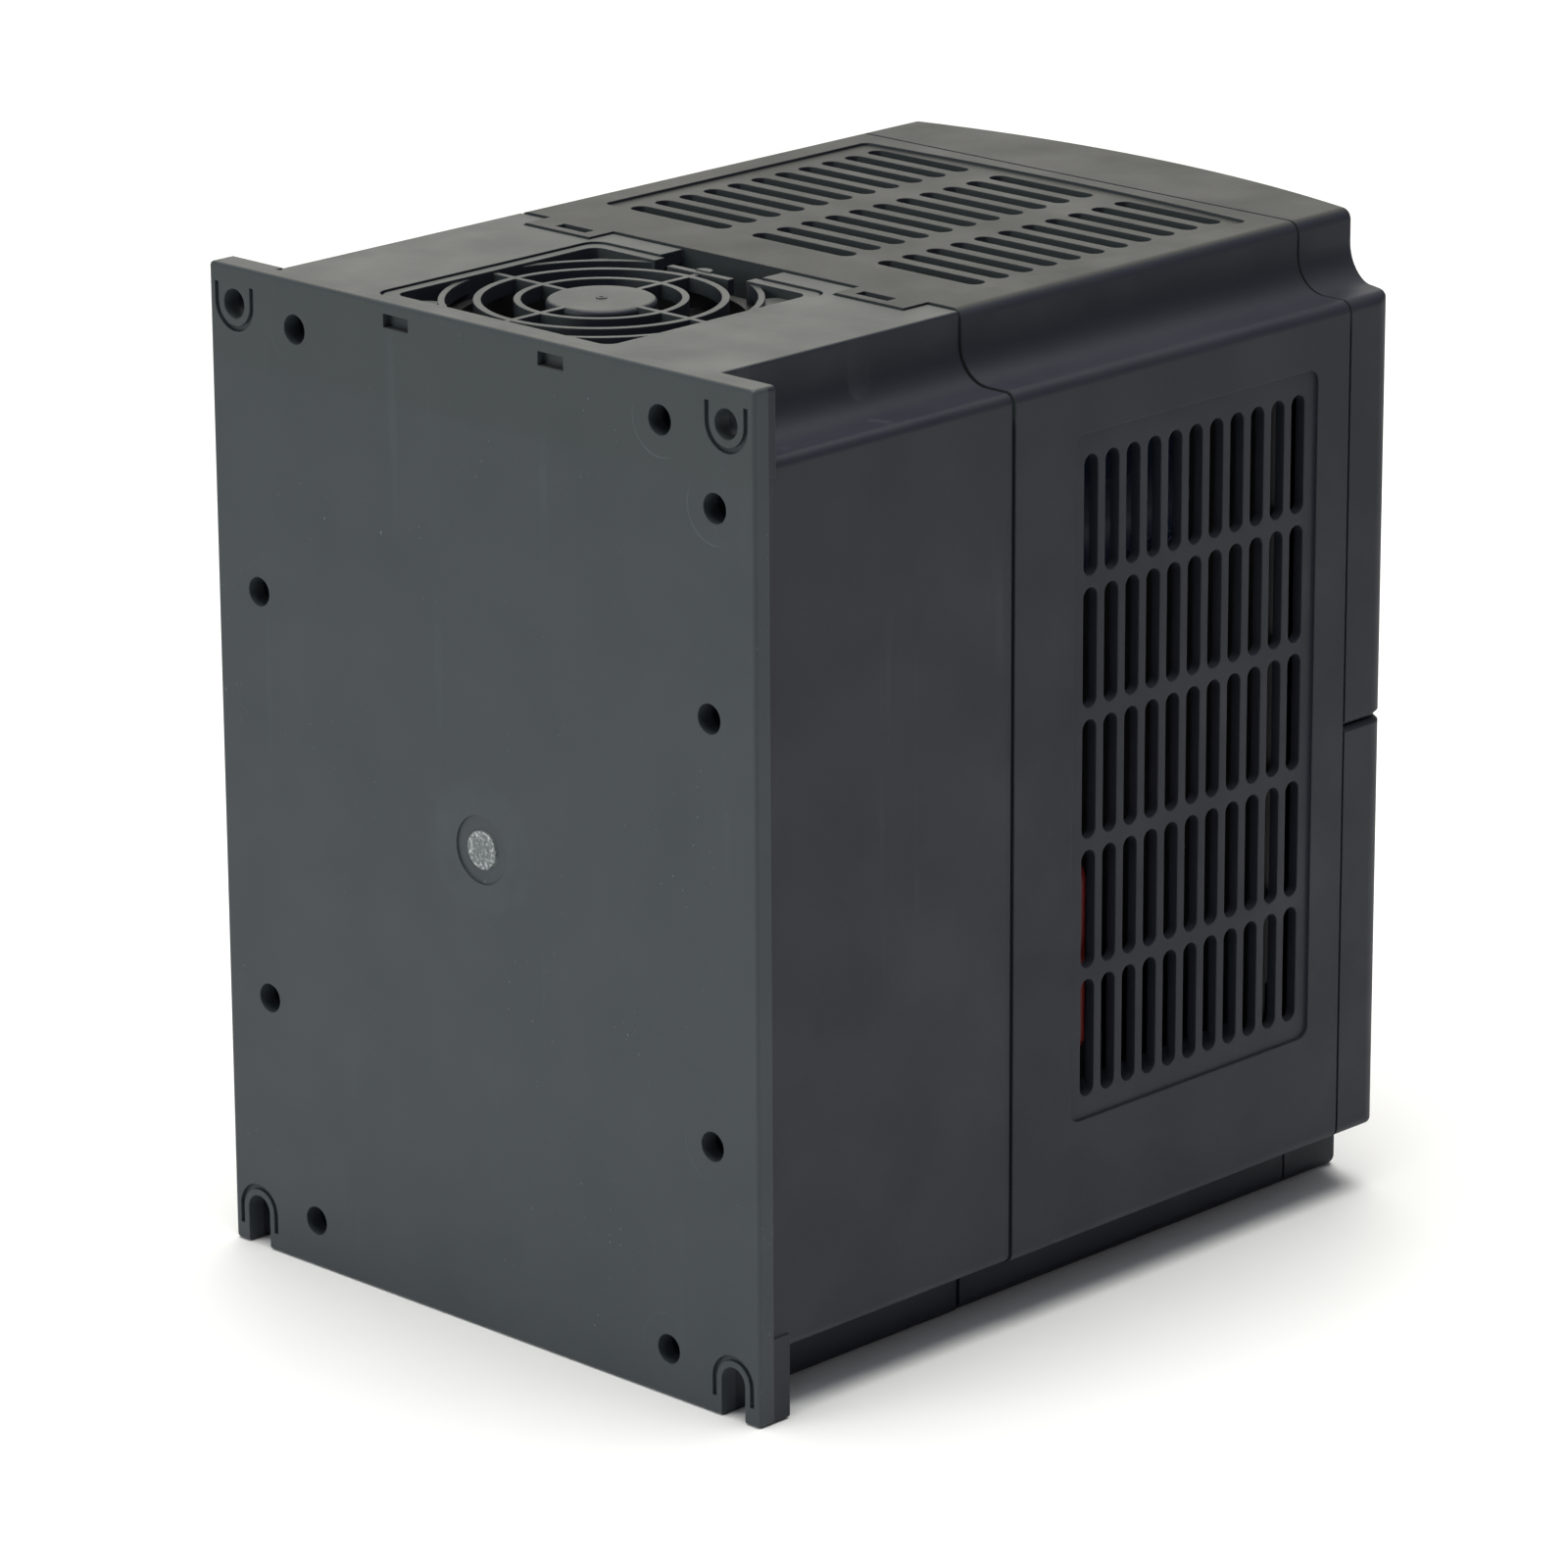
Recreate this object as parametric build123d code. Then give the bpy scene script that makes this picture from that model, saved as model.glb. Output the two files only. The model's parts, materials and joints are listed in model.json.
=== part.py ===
from build123d import *
import math
import os

# Variable frequency drive for wall mounting, in millimetres.
# +Z is up, X runs across the width, and the back face lies on the plane Y = 0, facing +Y.
# The body reaches forward along -Y, so a "depth" below is a distance in front of that face.
# The origin is the centre of the back face, which is also the centre of the mounting pattern.

# ---------------------------------------------------------------- driving dimensions

WIDTH = 125.0
PLATE_HEIGHT = 171.0
DEPTH = 162.4
FRONT_BOW_R = 200.0

BODY_TOP = 85.6          # half the height of the middle shell and the covers
NECK = 50.7              # half-width of the raised top and bottom of the body
SHELF = 74.0             # height at which the hollow shoulder meets the wide sides
HOLLOW_R = 6.0
EDGE_R = 2.0
WALL = 2.4

PLATE = 3.2              # thickness of the back plate
EAR = 4.7                # thickness of the plate at its top corners
FOOT = 6.8               # thickness of the lugs at its bottom corners
REAR_INSET = 0.3         # the rear housing is a little smaller than the middle shell
REAR_EDGE_R = 0.8

REAR_SEAM = 59.1
FRONT_SEAM = 141.8
SEAM_GAP = 0.5
TONGUE = 2.8             # how far each joint's inner lip reaches into its neighbour
TONGUE_INSET = WALL + 0.6
TONGUE_WALL = 1.2

MOUNT_X = 56.5
MOUNT_Z = 79.2
MOUNT_R = 2.5
GROOVE_R = 4.2
GROOVE_WIDTH = 0.95
GROOVE_DEPTH = 0.7
SLOT_R = 2.65

SCREW_HOLE_R = 2.5
SCREW_HOLE_DEPTH = 41.0
SCREW_HEAD_R = 2.35
SCREW_SHANK_R = 1.45
BOSS_R = 4.3
BOSS_END = 46.0
GATE = (0.0, -2.2)       # the moulding gate in the middle of the plate
GATE_R = 5.8
SHORT_SHANK = 1.25       # radius of the short internal screws
REAR_SCREWS = (
    [(side * 42.0, level * 77.3) for side in (-1, 1) for level in (-1, 1)]
    + [(side * 52.3, level) for side in (-1, 1) for level in (-40.0, 31.0)]
    + [(-53.9, 65.3)]
)

VENT_WIDTH = 3.4
SIDE_VENT_LENGTH = 20.4
SIDE_VENT_PITCH = (5.12, 22.35)
SIDE_VENT_COUNT = (11, 5)
SIDE_VENT_CENTRE = (103.5, 5.4)
TOP_VENT_LENGTH = 22.6
TOP_VENT_PITCH = (28.7, 5.8)
TOP_VENT_COUNT = (3, 11)
TOP_VENT_CENTRE = 104.7
PANEL_DROP = 0.5         # depth of the shallow panels that the vents sit in

FAN = 49.6
FAN_THICK = 15.0
FAN_CENTRE = 28.75       # depth of the fan's axis
FAN_OPENING = (54.0, 50.3)
FAN_DECK = 66.2          # height of the deck that the fan stands on
FAN_BORE = 23.6
HUB_R = 11.0
BLADE_R = 22.9
BLADES = 7
SHAFT_R = 1.0
BEARING_GAP = 0.05
TUBE_R = 2.6             # outside of the fan's bearing tube
FAN_PLUG = 56.4          # depth of the fan plug's centre

WEB = 2.5                # thickness of the middle shell's rear web
WEB_FACE = REAR_SEAM + SEAM_GAP / 2 + WEB
SINK_FRONT = REAR_SEAM + SEAM_GAP / 2
SINK_X = 46.0
SINK_Z = (-70.0, 58.0)
SINK_BASE = 8.0
SINK_BACK = 8.0
FINS = 15
FIN = 1.9
SINK_SCREWS = [(side * 43.0, level) for side in (-1, 1) for level in (-30.0, 20.0)]
IGBT = ((-37.0, 33.0), (-40.0, -4.0))
IGBT_HEIGHT = 12.0
IGBT_EAR = 6.6           # height of its ends, where the screws sit
BRIDGE = ((-20.0, 16.0), (8.0, 42.0))
BRIDGE_HEIGHT = 7.0
MODULE_SCREWS = [(-32.0, -22.0), (28.0, -22.0), (-2.0, 12.0), (-2.0, 38.0)]

POWER_BOARD = 76.0       # depth of the power board's rear face
BOARD = 1.6
ON_BOARD = POWER_BOARD + BOARD
BOARD_SCREWS = [(side * 46.0, level) for side in (-1, 1) for level in (-38.0, 62.0)]
CAPACITORS = [(-35.5, 43.0), (-9.5, 43.0), (16.5, 43.0)]
CAPACITOR_R = 12.5
CAPACITOR_HEIGHT = 41.0
CHOKE = (-36.0, -4.0)
CHOKE_R = (6.0, 11.5)
SENSORS = (-14.1, 14.1)
TERMINALS = 10
TERMINAL_PITCH = 9.4
TERMINAL_Z = (-69.0, -47.0)
TERMINAL_TOP = ON_BOARD + 21.0
TERMINAL_SCREW_Z = -59.5
TERMINAL_SEAT = ON_BOARD + 11.2
LINKED = (3, 4)          # the two terminals that the link joins
LINK = 1.0               # thickness of the link
LEAD_X = -55.9           # the red lead's run beside the power board
LEAD_R = 1.3

CARRIER = 124.0          # depth of the plastic plate that carries the control board
CARRIER_THICK = 2.4
CARRIER_SCREWS = [(side * 54.6, level) for side in (-1, 1) for level in (-53.6, 65.2)]
CONTROL_BOARD = 131.0
CONTROL_TOP = CONTROL_BOARD + BOARD
CONTROL_SCREWS = [(side * 42.0, level) for side in (-1, 1) for level in (-22.0, 60.0)]
CONTROL_WAYS = 14
CONTROL_PITCH = 5.0
CONTROL_SCREW_Z = -34.0
RIBBON_X = (24.3, 37.8)
RIBBON_Z = (-25.0, -24.0)

CABLE_X = (-30.0, 0.0, 30.0)
CABLE_DEPTH = 112.0
CABLE_HOLE_R = 10.0

SPLIT = 0.2              # half the gap between the upper and the lower cover
NOTCH = 0.8              # chamfer that makes the V between the two covers
COVER_SCREW = (0.0, -75.0)

KEYPAD_X = 31.0
KEYPAD_Z = (10.0, 76.0)
KEYPAD_PROUD = 0.8
KEYPAD_BACK = 148.0
KEYPAD_FACE = 2.2        # thickness of the keypad's front wall
KEYPAD_BOARD_BACK = 152.6
KEYPAD_BOARD_FACE = KEYPAD_BOARD_BACK + 1.4
WINDOW = ((-24.0, 24.0), (57.5, 72.0))
DIGITS = 5
DIGIT_PITCH = 8.2
STATUS_X = (14.5, 19.0, 23.5, 28.0)
STATUS_Z = 22.0
BUTTON_GRID = {
    "program": (-20.0, 49.0),
    "enter": (-7.5, 49.0),
    "up": (5.0, 49.0),
    "shift": (-20.0, 36.0),
    "jog": (-7.5, 36.0),
    "down": (5.0, 36.0),
    "run": (-16.5, 21.5),
    "stop": (1.5, 21.5),
}
WIDE_BUTTONS = ("run", "stop")
BUTTON_TRAVEL = 1.0
BUTTON_PROUD = 1.5
KNOB = (21.0, 38.0)
KNOB_R = 7.0
POT_SHAFT_R = 3.0


# ---------------------------------------------------------------- small helpers

def slab(face, near, far):
    """Extrude a face drawn in X and Z between two depths."""
    return extrude(Plane.XZ.offset(near) * face, far - near)


def block(x, depth, z):
    """A box from (low, high) pairs of X, depth and Z."""
    size = (x[1] - x[0], depth[1] - depth[0], z[1] - z[0])
    return Pos((x[0] + x[1]) / 2, -(depth[0] + depth[1]) / 2, (z[0] + z[1]) / 2) * Box(*size)


def rod(x, z, radius, near, far):
    """A round bar along the depth."""
    return slab(Pos(x, z) * Circle(radius), near, far)


def post(x, depth, radius, low, high):
    """A round bar along Z."""
    return extrude(Plane.XY.offset(low) * Pos(x, -depth) * Circle(radius), high - low)


def rounded_block(x, depth, z, radius):
    """A box whose corners are rounded as seen along its depth."""
    face = RectangleRounded(x[1] - x[0], z[1] - z[0], radius)
    return slab(Pos((x[0] + x[1]) / 2, (z[0] + z[1]) / 2) * face, *depth)


def pan_screw(x, z, seat, length, head_r=2.6, head=1.7, shank_r=1.5):
    """A cross-recess pan-head screw pointing towards the back, seated at a depth."""
    body = rod(x, z, head_r, seat, seat + head) + rod(x, z, shank_r, seat - length, seat)
    body = fillet(body.edges().sort_by(Axis.Y)[0], 0.6)
    for turn in (0, 90):
        bar = Pos(x, z) * Rot(0, 0, turn) * Rectangle(head_r * 1.15, 0.55)
        body -= slab(bar, seat + head * 0.4, seat + head + 1)
    return body


def group(solids):
    """Several separate solids that make up one node."""
    return Compound([solid for piece in solids for solid in piece.solids()])


def save(name, shape):
    export_step(shape, f"parts/{name}.step")


# ---------------------------------------------------------------- the body's cross-section

def outline(inset=0.0, edge_r=EDGE_R):
    """Wide sides, narrower top and bottom, and a hollow shoulder at each of the four corners."""
    side, neck = WIDTH / 2 - inset, NECK - inset
    top, shelf, hollow = BODY_TOP - inset, SHELF - inset, HOLLOW_R + inset
    top_r, side_r = max(edge_r - inset, 0.4), max(EDGE_R - inset, 0.4)
    quarter = [
        Line((0, top), (neck - top_r, top)),
        CenterArc((neck - top_r, top - top_r), top_r, 90, -90),
        Line((neck, top - top_r), (neck, shelf + hollow)),
        CenterArc((neck + hollow, shelf + hollow), hollow, 180, 90),
        Line((neck + hollow, shelf), (side - side_r, shelf)),
        CenterArc((side - side_r, shelf - side_r), side_r, 90, -90),
        Line((side, shelf - side_r), (side, 0)),
    ]
    half = quarter + [edge.mirror(Plane.YZ) for edge in quarter]
    return make_face(half + [edge.mirror(Plane.XZ) for edge in half])


def tongue(seam_face):
    """The thin inner lip that reaches back across a seam, with the flange that carries it."""
    inside = outline(TONGUE_INSET + TONGUE_WALL)
    lip = slab(outline(TONGUE_INSET) - inside, seam_face - TONGUE, seam_face + 1)
    return lip + slab(outline(WALL / 2) - inside, seam_face, seam_face + 1.6)


def bow(depth, low, high, radius=FRONT_BOW_R, corner=4.5, half_width=WIDTH / 2):
    """Everything behind a gently bowed front, with rounded corners at its two sides."""
    centre = depth - radius
    edge = math.sqrt(radius**2 - half_width**2) + centre
    with BuildSketch(Plane.XY.offset(low)) as sketch:
        with BuildLine():
            ThreePointArc((-half_width, -edge), (0, -depth), (half_width, -edge))
            Polyline((half_width, -edge), (half_width, 10), (-half_width, 10), (-half_width, -edge))
        make_face()
        if corner:
            fillet(sketch.vertices().group_by(Axis.Y)[0], corner)
    return extrude(sketch.sketch, high - low)


def vents(length, pitch, count):
    """A grid of round-ended slots: length along the first axis, stacked along the second."""
    return Sketch() + GridLocations(*pitch, *count) * SlotOverall(length, VENT_WIDTH)


# ---------------------------------------------------------------- rear housing

def back_plate():
    plate = slab(RectangleRounded(WIDTH, PLATE_HEIGHT, 0.8), 0, PLATE)
    half_height = PLATE_HEIGHT / 2
    for side in (-1, 1):
        across = sorted((side * (NECK - 1), side * WIDTH))
        ear = block(across, (PLATE / 2, EAR), (SHELF - 3, half_height))
        foot = block(across, (PLATE / 2, FOOT), (-half_height, -SHELF + 3))
        plate += (ear + foot) & slab(RectangleRounded(WIDTH, PLATE_HEIGHT, 0.8), 0, FOOT)
    return fillet(plate.faces().sort_by(Axis.Y)[-1].edges(), 0.6)


def mounting_cuts():
    """Round holes at the top, open slots at the bottom, and the moulded groove round each."""
    band = Circle(GROOVE_R + GROOVE_WIDTH / 2) - Circle(GROOVE_R - GROOVE_WIDTH / 2)
    arms = [Pos(side * GROOVE_R, 1.6) * Rectangle(GROOVE_WIDTH, 3.2) for side in (-1, 1)]
    half_band = band - Pos(0, 5) * Rectangle(20, 10)
    groove = half_band + arms
    cuts = []
    for side in (-1, 1):
        x = side * MOUNT_X
        cuts.append(rod(x, MOUNT_Z, MOUNT_R, -1, EAR + 1))
        cuts.append(slab(Pos(x, MOUNT_Z) * groove, -1, GROOVE_DEPTH))
        cuts.append(rod(x, -MOUNT_Z, SLOT_R, -1, FOOT + 1))
        cuts.append(block((x - SLOT_R, x + SLOT_R), (-1, FOOT + 1), (-MOUNT_Z - 20, -MOUNT_Z)))
        cuts.append(slab(Pos(x, -MOUNT_Z) * Rot(0, 0, 180) * groove, -1, GROOVE_DEPTH))
    return cuts


def rear_housing():
    front = REAR_SEAM - SEAM_GAP / 2
    shell = slab(outline(REAR_INSET, REAR_EDGE_R), PLATE / 2, front)
    shell -= slab(outline(REAR_INSET + WALL), PLATE, front + 1)
    shell += back_plate()
    top_wall = BODY_TOP - REAR_INSET - WALL / 2

    # The deck under the fan, reaching over the heatsink, and the two walls beside the fan
    deck = block((-SINK_X, SINK_X), (PLATE / 2, front), (FAN_DECK - 2, FAN_DECK))
    deck -= post(0, FAN_CENTRE, FAN_BORE, FAN_DECK - 3, FAN_DECK + 1)
    shell += deck
    for side in (-1, 1):
        wall = sorted((side * 27.4, side * 29.0))
        shell += block(wall, (PLATE / 2, front - TONGUE), (FAN_DECK - 1, top_wall))

    # Screw bosses behind the deep holes in the plate
    for x, z in REAR_SCREWS:
        shell += rod(x, z, BOSS_R, PLATE / 2, BOSS_END)

    cuts = mounting_cuts()
    for x, z in REAR_SCREWS:
        cuts.append(rod(x, z, SCREW_HOLE_R, -1, SCREW_HOLE_DEPTH))
        cuts.append(rod(x, z, SCREW_SHANK_R + 0.1, SCREW_HOLE_DEPTH - 1, BOSS_END + 1))

    # Opening for the fan guard, with a wide notch at the front for its latch
    opening = Pos(0, -FAN_CENTRE) * RectangleRounded(*FAN_OPENING, 3.0)
    opening += Pos(0, -(FAN_CENTRE + front) / 2) * Rectangle(23.4, front - FAN_CENTRE + 2)
    cuts.append(extrude(Plane.XY.offset(FAN_DECK + 6) * opening, 20))

    # Catch pockets for the fan guard near the top edge of the plate
    for side in (-1, 1):
        cuts.append(block((side * 17.8 - 2.9, side * 17.8 + 2.9), (-1, 1.6), (81.3, 83.6)))

    # Shallow round recess of the moulding gate
    cuts.append(rod(*GATE, GATE_R, -1, 0.35))

    # Notches that the middle shell's two snap tabs lie in, and the air inlet underneath
    for side in (-1, 1):
        notch = sorted((side * 27.9, side * 43.7))
        cuts.append(block(notch, (53.2, front + 1), (BODY_TOP - REAR_INSET - 1.2, BODY_TOP + 1)))
    inlet = GridLocations(TOP_VENT_PITCH[0], TOP_VENT_PITCH[1], 3, 7)
    slots = Sketch() + inlet * SlotOverall(TOP_VENT_LENGTH, VENT_WIDTH)
    cuts.append(extrude(Plane.XY.offset(-BODY_TOP - 1) * Pos(0, -30.0) * slots, 6))
    shell -= cuts

    gate = rod(*GATE, 3.3, 0.1, 0.5)
    latch_nubs = [
        block(sorted((side * 31.5, side * 37.6)), (55.9, 56.7), (BODY_TOP - 2.2, BODY_TOP - 0.5))
        for side in (-1, 1)
    ]
    return shell + gate + latch_nubs


def rear_screws():
    screws = []
    for x, z in REAR_SCREWS:
        seat = SCREW_HOLE_DEPTH
        screw = rod(x, z, SCREW_HEAD_R, seat - 2.0, seat) + rod(x, z, SCREW_SHANK_R, seat, seat + 16)
        for turn in (0, 90):
            bar = Pos(x, z) * Rot(0, 0, turn) * Rectangle(2.8, 0.6)
            screw -= slab(bar, seat - 3, seat - 1.0)
        screws.append(screw)
    return group(screws)


# ---------------------------------------------------------------- middle shell

def middle_shell():
    near, far = REAR_SEAM + SEAM_GAP / 2, FRONT_SEAM - SEAM_GAP / 2
    shell = slab(outline(), near, far) - slab(outline(WALL), near - 1, far + 1)
    shell += slab(outline(WALL / 2), near, WEB_FACE)
    shell -= block((-40, 40), (near - 1, WEB_FACE + 1), (-63, 51))
    shell += tongue(near) - block((-30, 30), (near - 5, near), (70, 90))
    bosses = [
        rod(x, z, BOSS_R - 0.5, BOSS_END + 0.2, WEB_FACE) for x, z in REAR_SCREWS
    ]
    shell += bosses

    # Columns for the control board's carrier, posts for the power board
    carrier_posts = [rod(x, z, 3.4, WEB_FACE - 1, CARRIER) for x, z in CARRIER_SCREWS]
    board_posts = [rod(x, z, 3.2, WEB_FACE - 1, POWER_BOARD) for x, z in BOARD_SCREWS]
    shell += carrier_posts + board_posts

    # Anchor for the terminal cover's screw on the bottom wall
    anchor = block((-5, 5), (130, far), (-BODY_TOP + 1, -70.5))
    shell += anchor

    # Snap tabs reaching back over the rear housing, each with a window for a nub
    for side in (-1, 1):
        across = sorted((side * 28.2, side * 43.4))
        tab = block(across, (53.6, near + 2), (BODY_TOP - 1.2, BODY_TOP))
        tab -= block(sorted((side * 31.0, side * 38.1)), (55.4, 57.6), (80, 90))
        shell += tab

    cuts = [
        rod(x, z, SCREW_SHANK_R, BOSS_END, WEB_FACE + 1) for x, z in REAR_SCREWS
    ]
    cuts += [rod(x, z, 1.25, CARRIER - 9, CARRIER + 1) for x, z in CARRIER_SCREWS]
    cuts += [rod(x, z, 1.25, POWER_BOARD - 8, POWER_BOARD + 1) for x, z in BOARD_SCREWS]
    cuts += [rod(x, z, 1.45, near - 1, WEB_FACE + 1) for x, z in SINK_SCREWS]
    cuts.append(rod(*COVER_SCREW, 1.85, 126, far + 1))

    # Side vents in their shallow panels, right through both walls
    depth, height = SIDE_VENT_CENTRE
    centre = Pos(-depth, height)
    grid = centre * Rot(0, 0, 90) * vents(SIDE_VENT_LENGTH, SIDE_VENT_PITCH[::-1], SIDE_VENT_COUNT[::-1])
    cuts.append(extrude(Plane.YZ.offset(-WIDTH / 2 - 1) * grid, WALL + 2))
    cuts.append(extrude(Plane.YZ.offset(WIDTH / 2 - WALL - 1) * grid, WALL + 2))
    panel = centre * RectangleRounded(60.2, 117.4, 2.2)
    cuts.append(extrude(Plane.YZ.offset(-WIDTH / 2 - 1) * panel, 1 + PANEL_DROP))
    cuts.append(extrude(Plane.YZ.offset(WIDTH / 2 - PANEL_DROP) * panel, 1 + PANEL_DROP))

    # Top vents, in a panel whose front edge follows the bow of the front
    grid = Pos(0, -TOP_VENT_CENTRE) * vents(TOP_VENT_LENGTH, TOP_VENT_PITCH, TOP_VENT_COUNT)
    cuts.append(extrude(Plane.XY.offset(BODY_TOP - WALL - 1) * grid, WALL + 2))
    edge, crown, rear = 136.6, 138.4, 72.4
    with BuildSketch(Plane.XY.offset(BODY_TOP - PANEL_DROP)) as top_panel:
        with BuildLine():
            ThreePointArc((-44, -edge), (0, -crown), (44, -edge))
            Polyline((44, -edge), (44, -rear), (-44, -rear), (-44, -edge))
        make_face()
        fillet(top_panel.vertices(), 1.5)
    cuts.append(extrude(top_panel.sketch, 1 + PANEL_DROP))

    # Bottom vents behind the opening for the cable entry plate
    grid = Pos(0, -80.0) * vents(TOP_VENT_LENGTH, TOP_VENT_PITCH, (3, 5))
    cuts.append(extrude(Plane.XY.offset(-BODY_TOP - 1) * grid, WALL + 2))
    cuts.append(block((-46, 46), (98, 126), (-BODY_TOP - 1, -BODY_TOP + WALL + 1)))
    return shell - cuts


def cable_entry_plate():
    plate = block((-47.8, 47.8), (95, 129), (-BODY_TOP + WALL, -BODY_TOP + WALL + 1.8))
    plate += block((-45.7, 45.7), (98.3, 125.7), (-BODY_TOP + 0.2, -BODY_TOP + WALL + 0.1))
    for x in CABLE_X:
        plate -= post(x, CABLE_DEPTH, CABLE_HOLE_R, -BODY_TOP - 1, -BODY_TOP + 8)
    return plate


def cable_grommet(x):
    """A rubber ring with a lip on each side of the plate, and a stepped cone inside."""
    low, high = -BODY_TOP + 0.2, -BODY_TOP + WALL + 1.8
    ring = post(x, CABLE_DEPTH, CABLE_HOLE_R - 0.02, low, high + 0.5)
    ring += post(x, CABLE_DEPTH, 11.4, high + 0.02, high + 1.6)
    ring -= post(x, CABLE_DEPTH, 8.2, high - 2.0, high + 3)
    return ring - post(x, CABLE_DEPTH, 6.0, low - 1, high + 3)


# ---------------------------------------------------------------- front covers

def half_cover():
    """The hollow front above the split; mirrored, it is also the part below the split."""
    near = FRONT_SEAM + SEAM_GAP / 2
    outer = slab(outline(), near, DEPTH + 1) & bow(DEPTH, SPLIT, BODY_TOP + 1)
    top_edge = [
        edge for edge in outer.edges()
        if abs(edge.center().Z - BODY_TOP) < 0.01 and edge.center().Y < -(near + 10)
    ]
    outer = fillet(top_edge, 1.2)
    split_edges = [
        edge for edge in outer.edges()
        if abs(edge.center().Z - SPLIT) < 0.01 and edge.center().Y < -(near + 1)
    ]
    outer = chamfer(split_edges, NOTCH)
    hollow = slab(outline(WALL), near - 1, DEPTH + 1)
    hollow &= bow(DEPTH - WALL, SPLIT + WALL, BODY_TOP + 9, corner=2.5)
    lip = tongue(near) & block((-70, 70), (130, 170), (SPLIT + WALL, 90))
    return outer - hollow + lip


def upper_front_cover():
    cover = half_cover()

    # Pocket that the keypad plugs into
    pocket_x, pocket_z = KEYPAD_X + 1.8, (KEYPAD_Z[0] - 1.8, KEYPAD_Z[1] + 1.8)
    tray = rounded_block(
        (-pocket_x, pocket_x), (KEYPAD_BACK - 2.2, DEPTH), pocket_z, 4.6
    ) & bow(DEPTH - WALL / 2, pocket_z[0] - 1, pocket_z[1] + 1, corner=0)
    cover += tray
    cover -= rounded_block(
        (-KEYPAD_X - 0.3, KEYPAD_X + 0.3), (KEYPAD_BACK - 0.4, DEPTH + 9),
        (KEYPAD_Z[0] - 0.3, KEYPAD_Z[1] + 0.3), 3.3,
    )
    cover -= block((-9, 9), (KEYPAD_BACK - 4, KEYPAD_BACK + 1), (33, 51))

    # Finger recesses at the sides and ribs inside
    for side in (-1, 1):
        cover += block(sorted((side * 44.0, side * 45.4)), (147, 156), (SPLIT + 1, 70))
        cover -= rounded_block(sorted((side * 38, side * 56)), (DEPTH - 11.0, DEPTH + 3), (3, 9), 2.0) & (
            bow(DEPTH + 5, 2, 10, corner=0) - bow(DEPTH - 1.0, 2, 10, corner=0)
        )
    return cover


def lower_front_cover():
    cover = half_cover().mirror(Plane.XY)
    cover -= block((-7, 7), (FRONT_SEAM - 5, FRONT_SEAM + SEAM_GAP / 2), (-90, -60))
    for side in (-1, 1):
        cover += block(sorted((side * 48.0, side * 49.4)), (147, 155), (-70, -SPLIT - 1))

    # Grip ribs across the cover and the tube for its captive screw
    for step in range(5):
        level = -14.0 - 3.2 * step
        rib = block((-16, 16), (DEPTH - 5, DEPTH + 2), (level - 0.6, level + 0.6))
        cover += rib & bow(DEPTH + 0.7, level - 2, level + 2, corner=0)
    x, z = COVER_SCREW
    cover += rod(x, z, 5.0, FRONT_SEAM + 1, DEPTH - 0.8)
    cover -= rod(x, z, 3.4, DEPTH - 3.5, DEPTH + 3)
    return cover - rod(x, z, 1.7, 130, DEPTH + 3)


def terminal_cover_screw():
    return pan_screw(*COVER_SCREW, DEPTH - 3.5, 30.0, head_r=3.1, head=2.2, shank_r=1.5)


# ---------------------------------------------------------------- cooling fan

def fan_guard():
    """Square frame, three rings, four spokes, a centre disc and a springy latch."""
    low, high = FAN_DECK + FAN_THICK, BODY_TOP - REAR_INSET - 0.3
    frame = RectangleRounded(FAN_OPENING[0] - 0.8, FAN, 2.8)
    hole = RectangleRounded(FAN - 0.4, FAN - 4.4, 2.2)
    bars = frame - hole
    grille = Circle(9.05)
    for radius, width in ((13.6, 1.15), (20.05, 1.25), (25.8, 1.1)):
        grille += Circle(radius + width / 2) - Circle(radius - width / 2)
    grille += Rectangle(FAN, 1.1) + Rectangle(1.1, FAN)
    grille = grille & RectangleRounded(FAN - 0.5, FAN - 3.7, 2.2)
    centre = Pos(0, -FAN_CENTRE)
    guard = extrude(Plane.XY.offset(low) * centre * bars, high - low)
    guard += extrude(Plane.XY.offset(high - 2.9) * centre * grille, 2.4)
    hub = guard.edges().filter_by(GeomType.CIRCLE).filter_by(
        lambda e: abs(e.radius - 9.05) < 0.01 and e.center().Z > high - 0.6
    )
    guard = fillet(hub, 0.8)
    guard += post(0, FAN_CENTRE, 0.9, high - 1, high - 0.35) - post(0, FAN_CENTRE, 0.4, high - 2, high)

    # Springy latch tongue in a gap in the front bar, with a half-round finger bump
    front = FAN_CENTRE + FAN / 2
    guard -= block((-10.5, 10.5), (front - 2.6, front + 1), (0, 99))
    guard += block((-7, 7), (front - 2.9, front - 1.5), (high - 2.9, high - 0.3))
    bump = post(0, front - 1.6, 1.6, high - 2.9, high - 0.1)
    guard += bump & block((-3, 3), (front - 1.7, front + 1), (0, 99))

    # Pegs that press into the fan's four corner holes
    for x in (-20, 20):
        for reach in (-20, 20):
            guard += post(x, FAN_CENTRE + reach, 3.4, low, high - 1.6)
            guard += post(x, FAN_CENTRE + reach, 2.05, low - 3.5, low + 1)
    return guard


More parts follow.
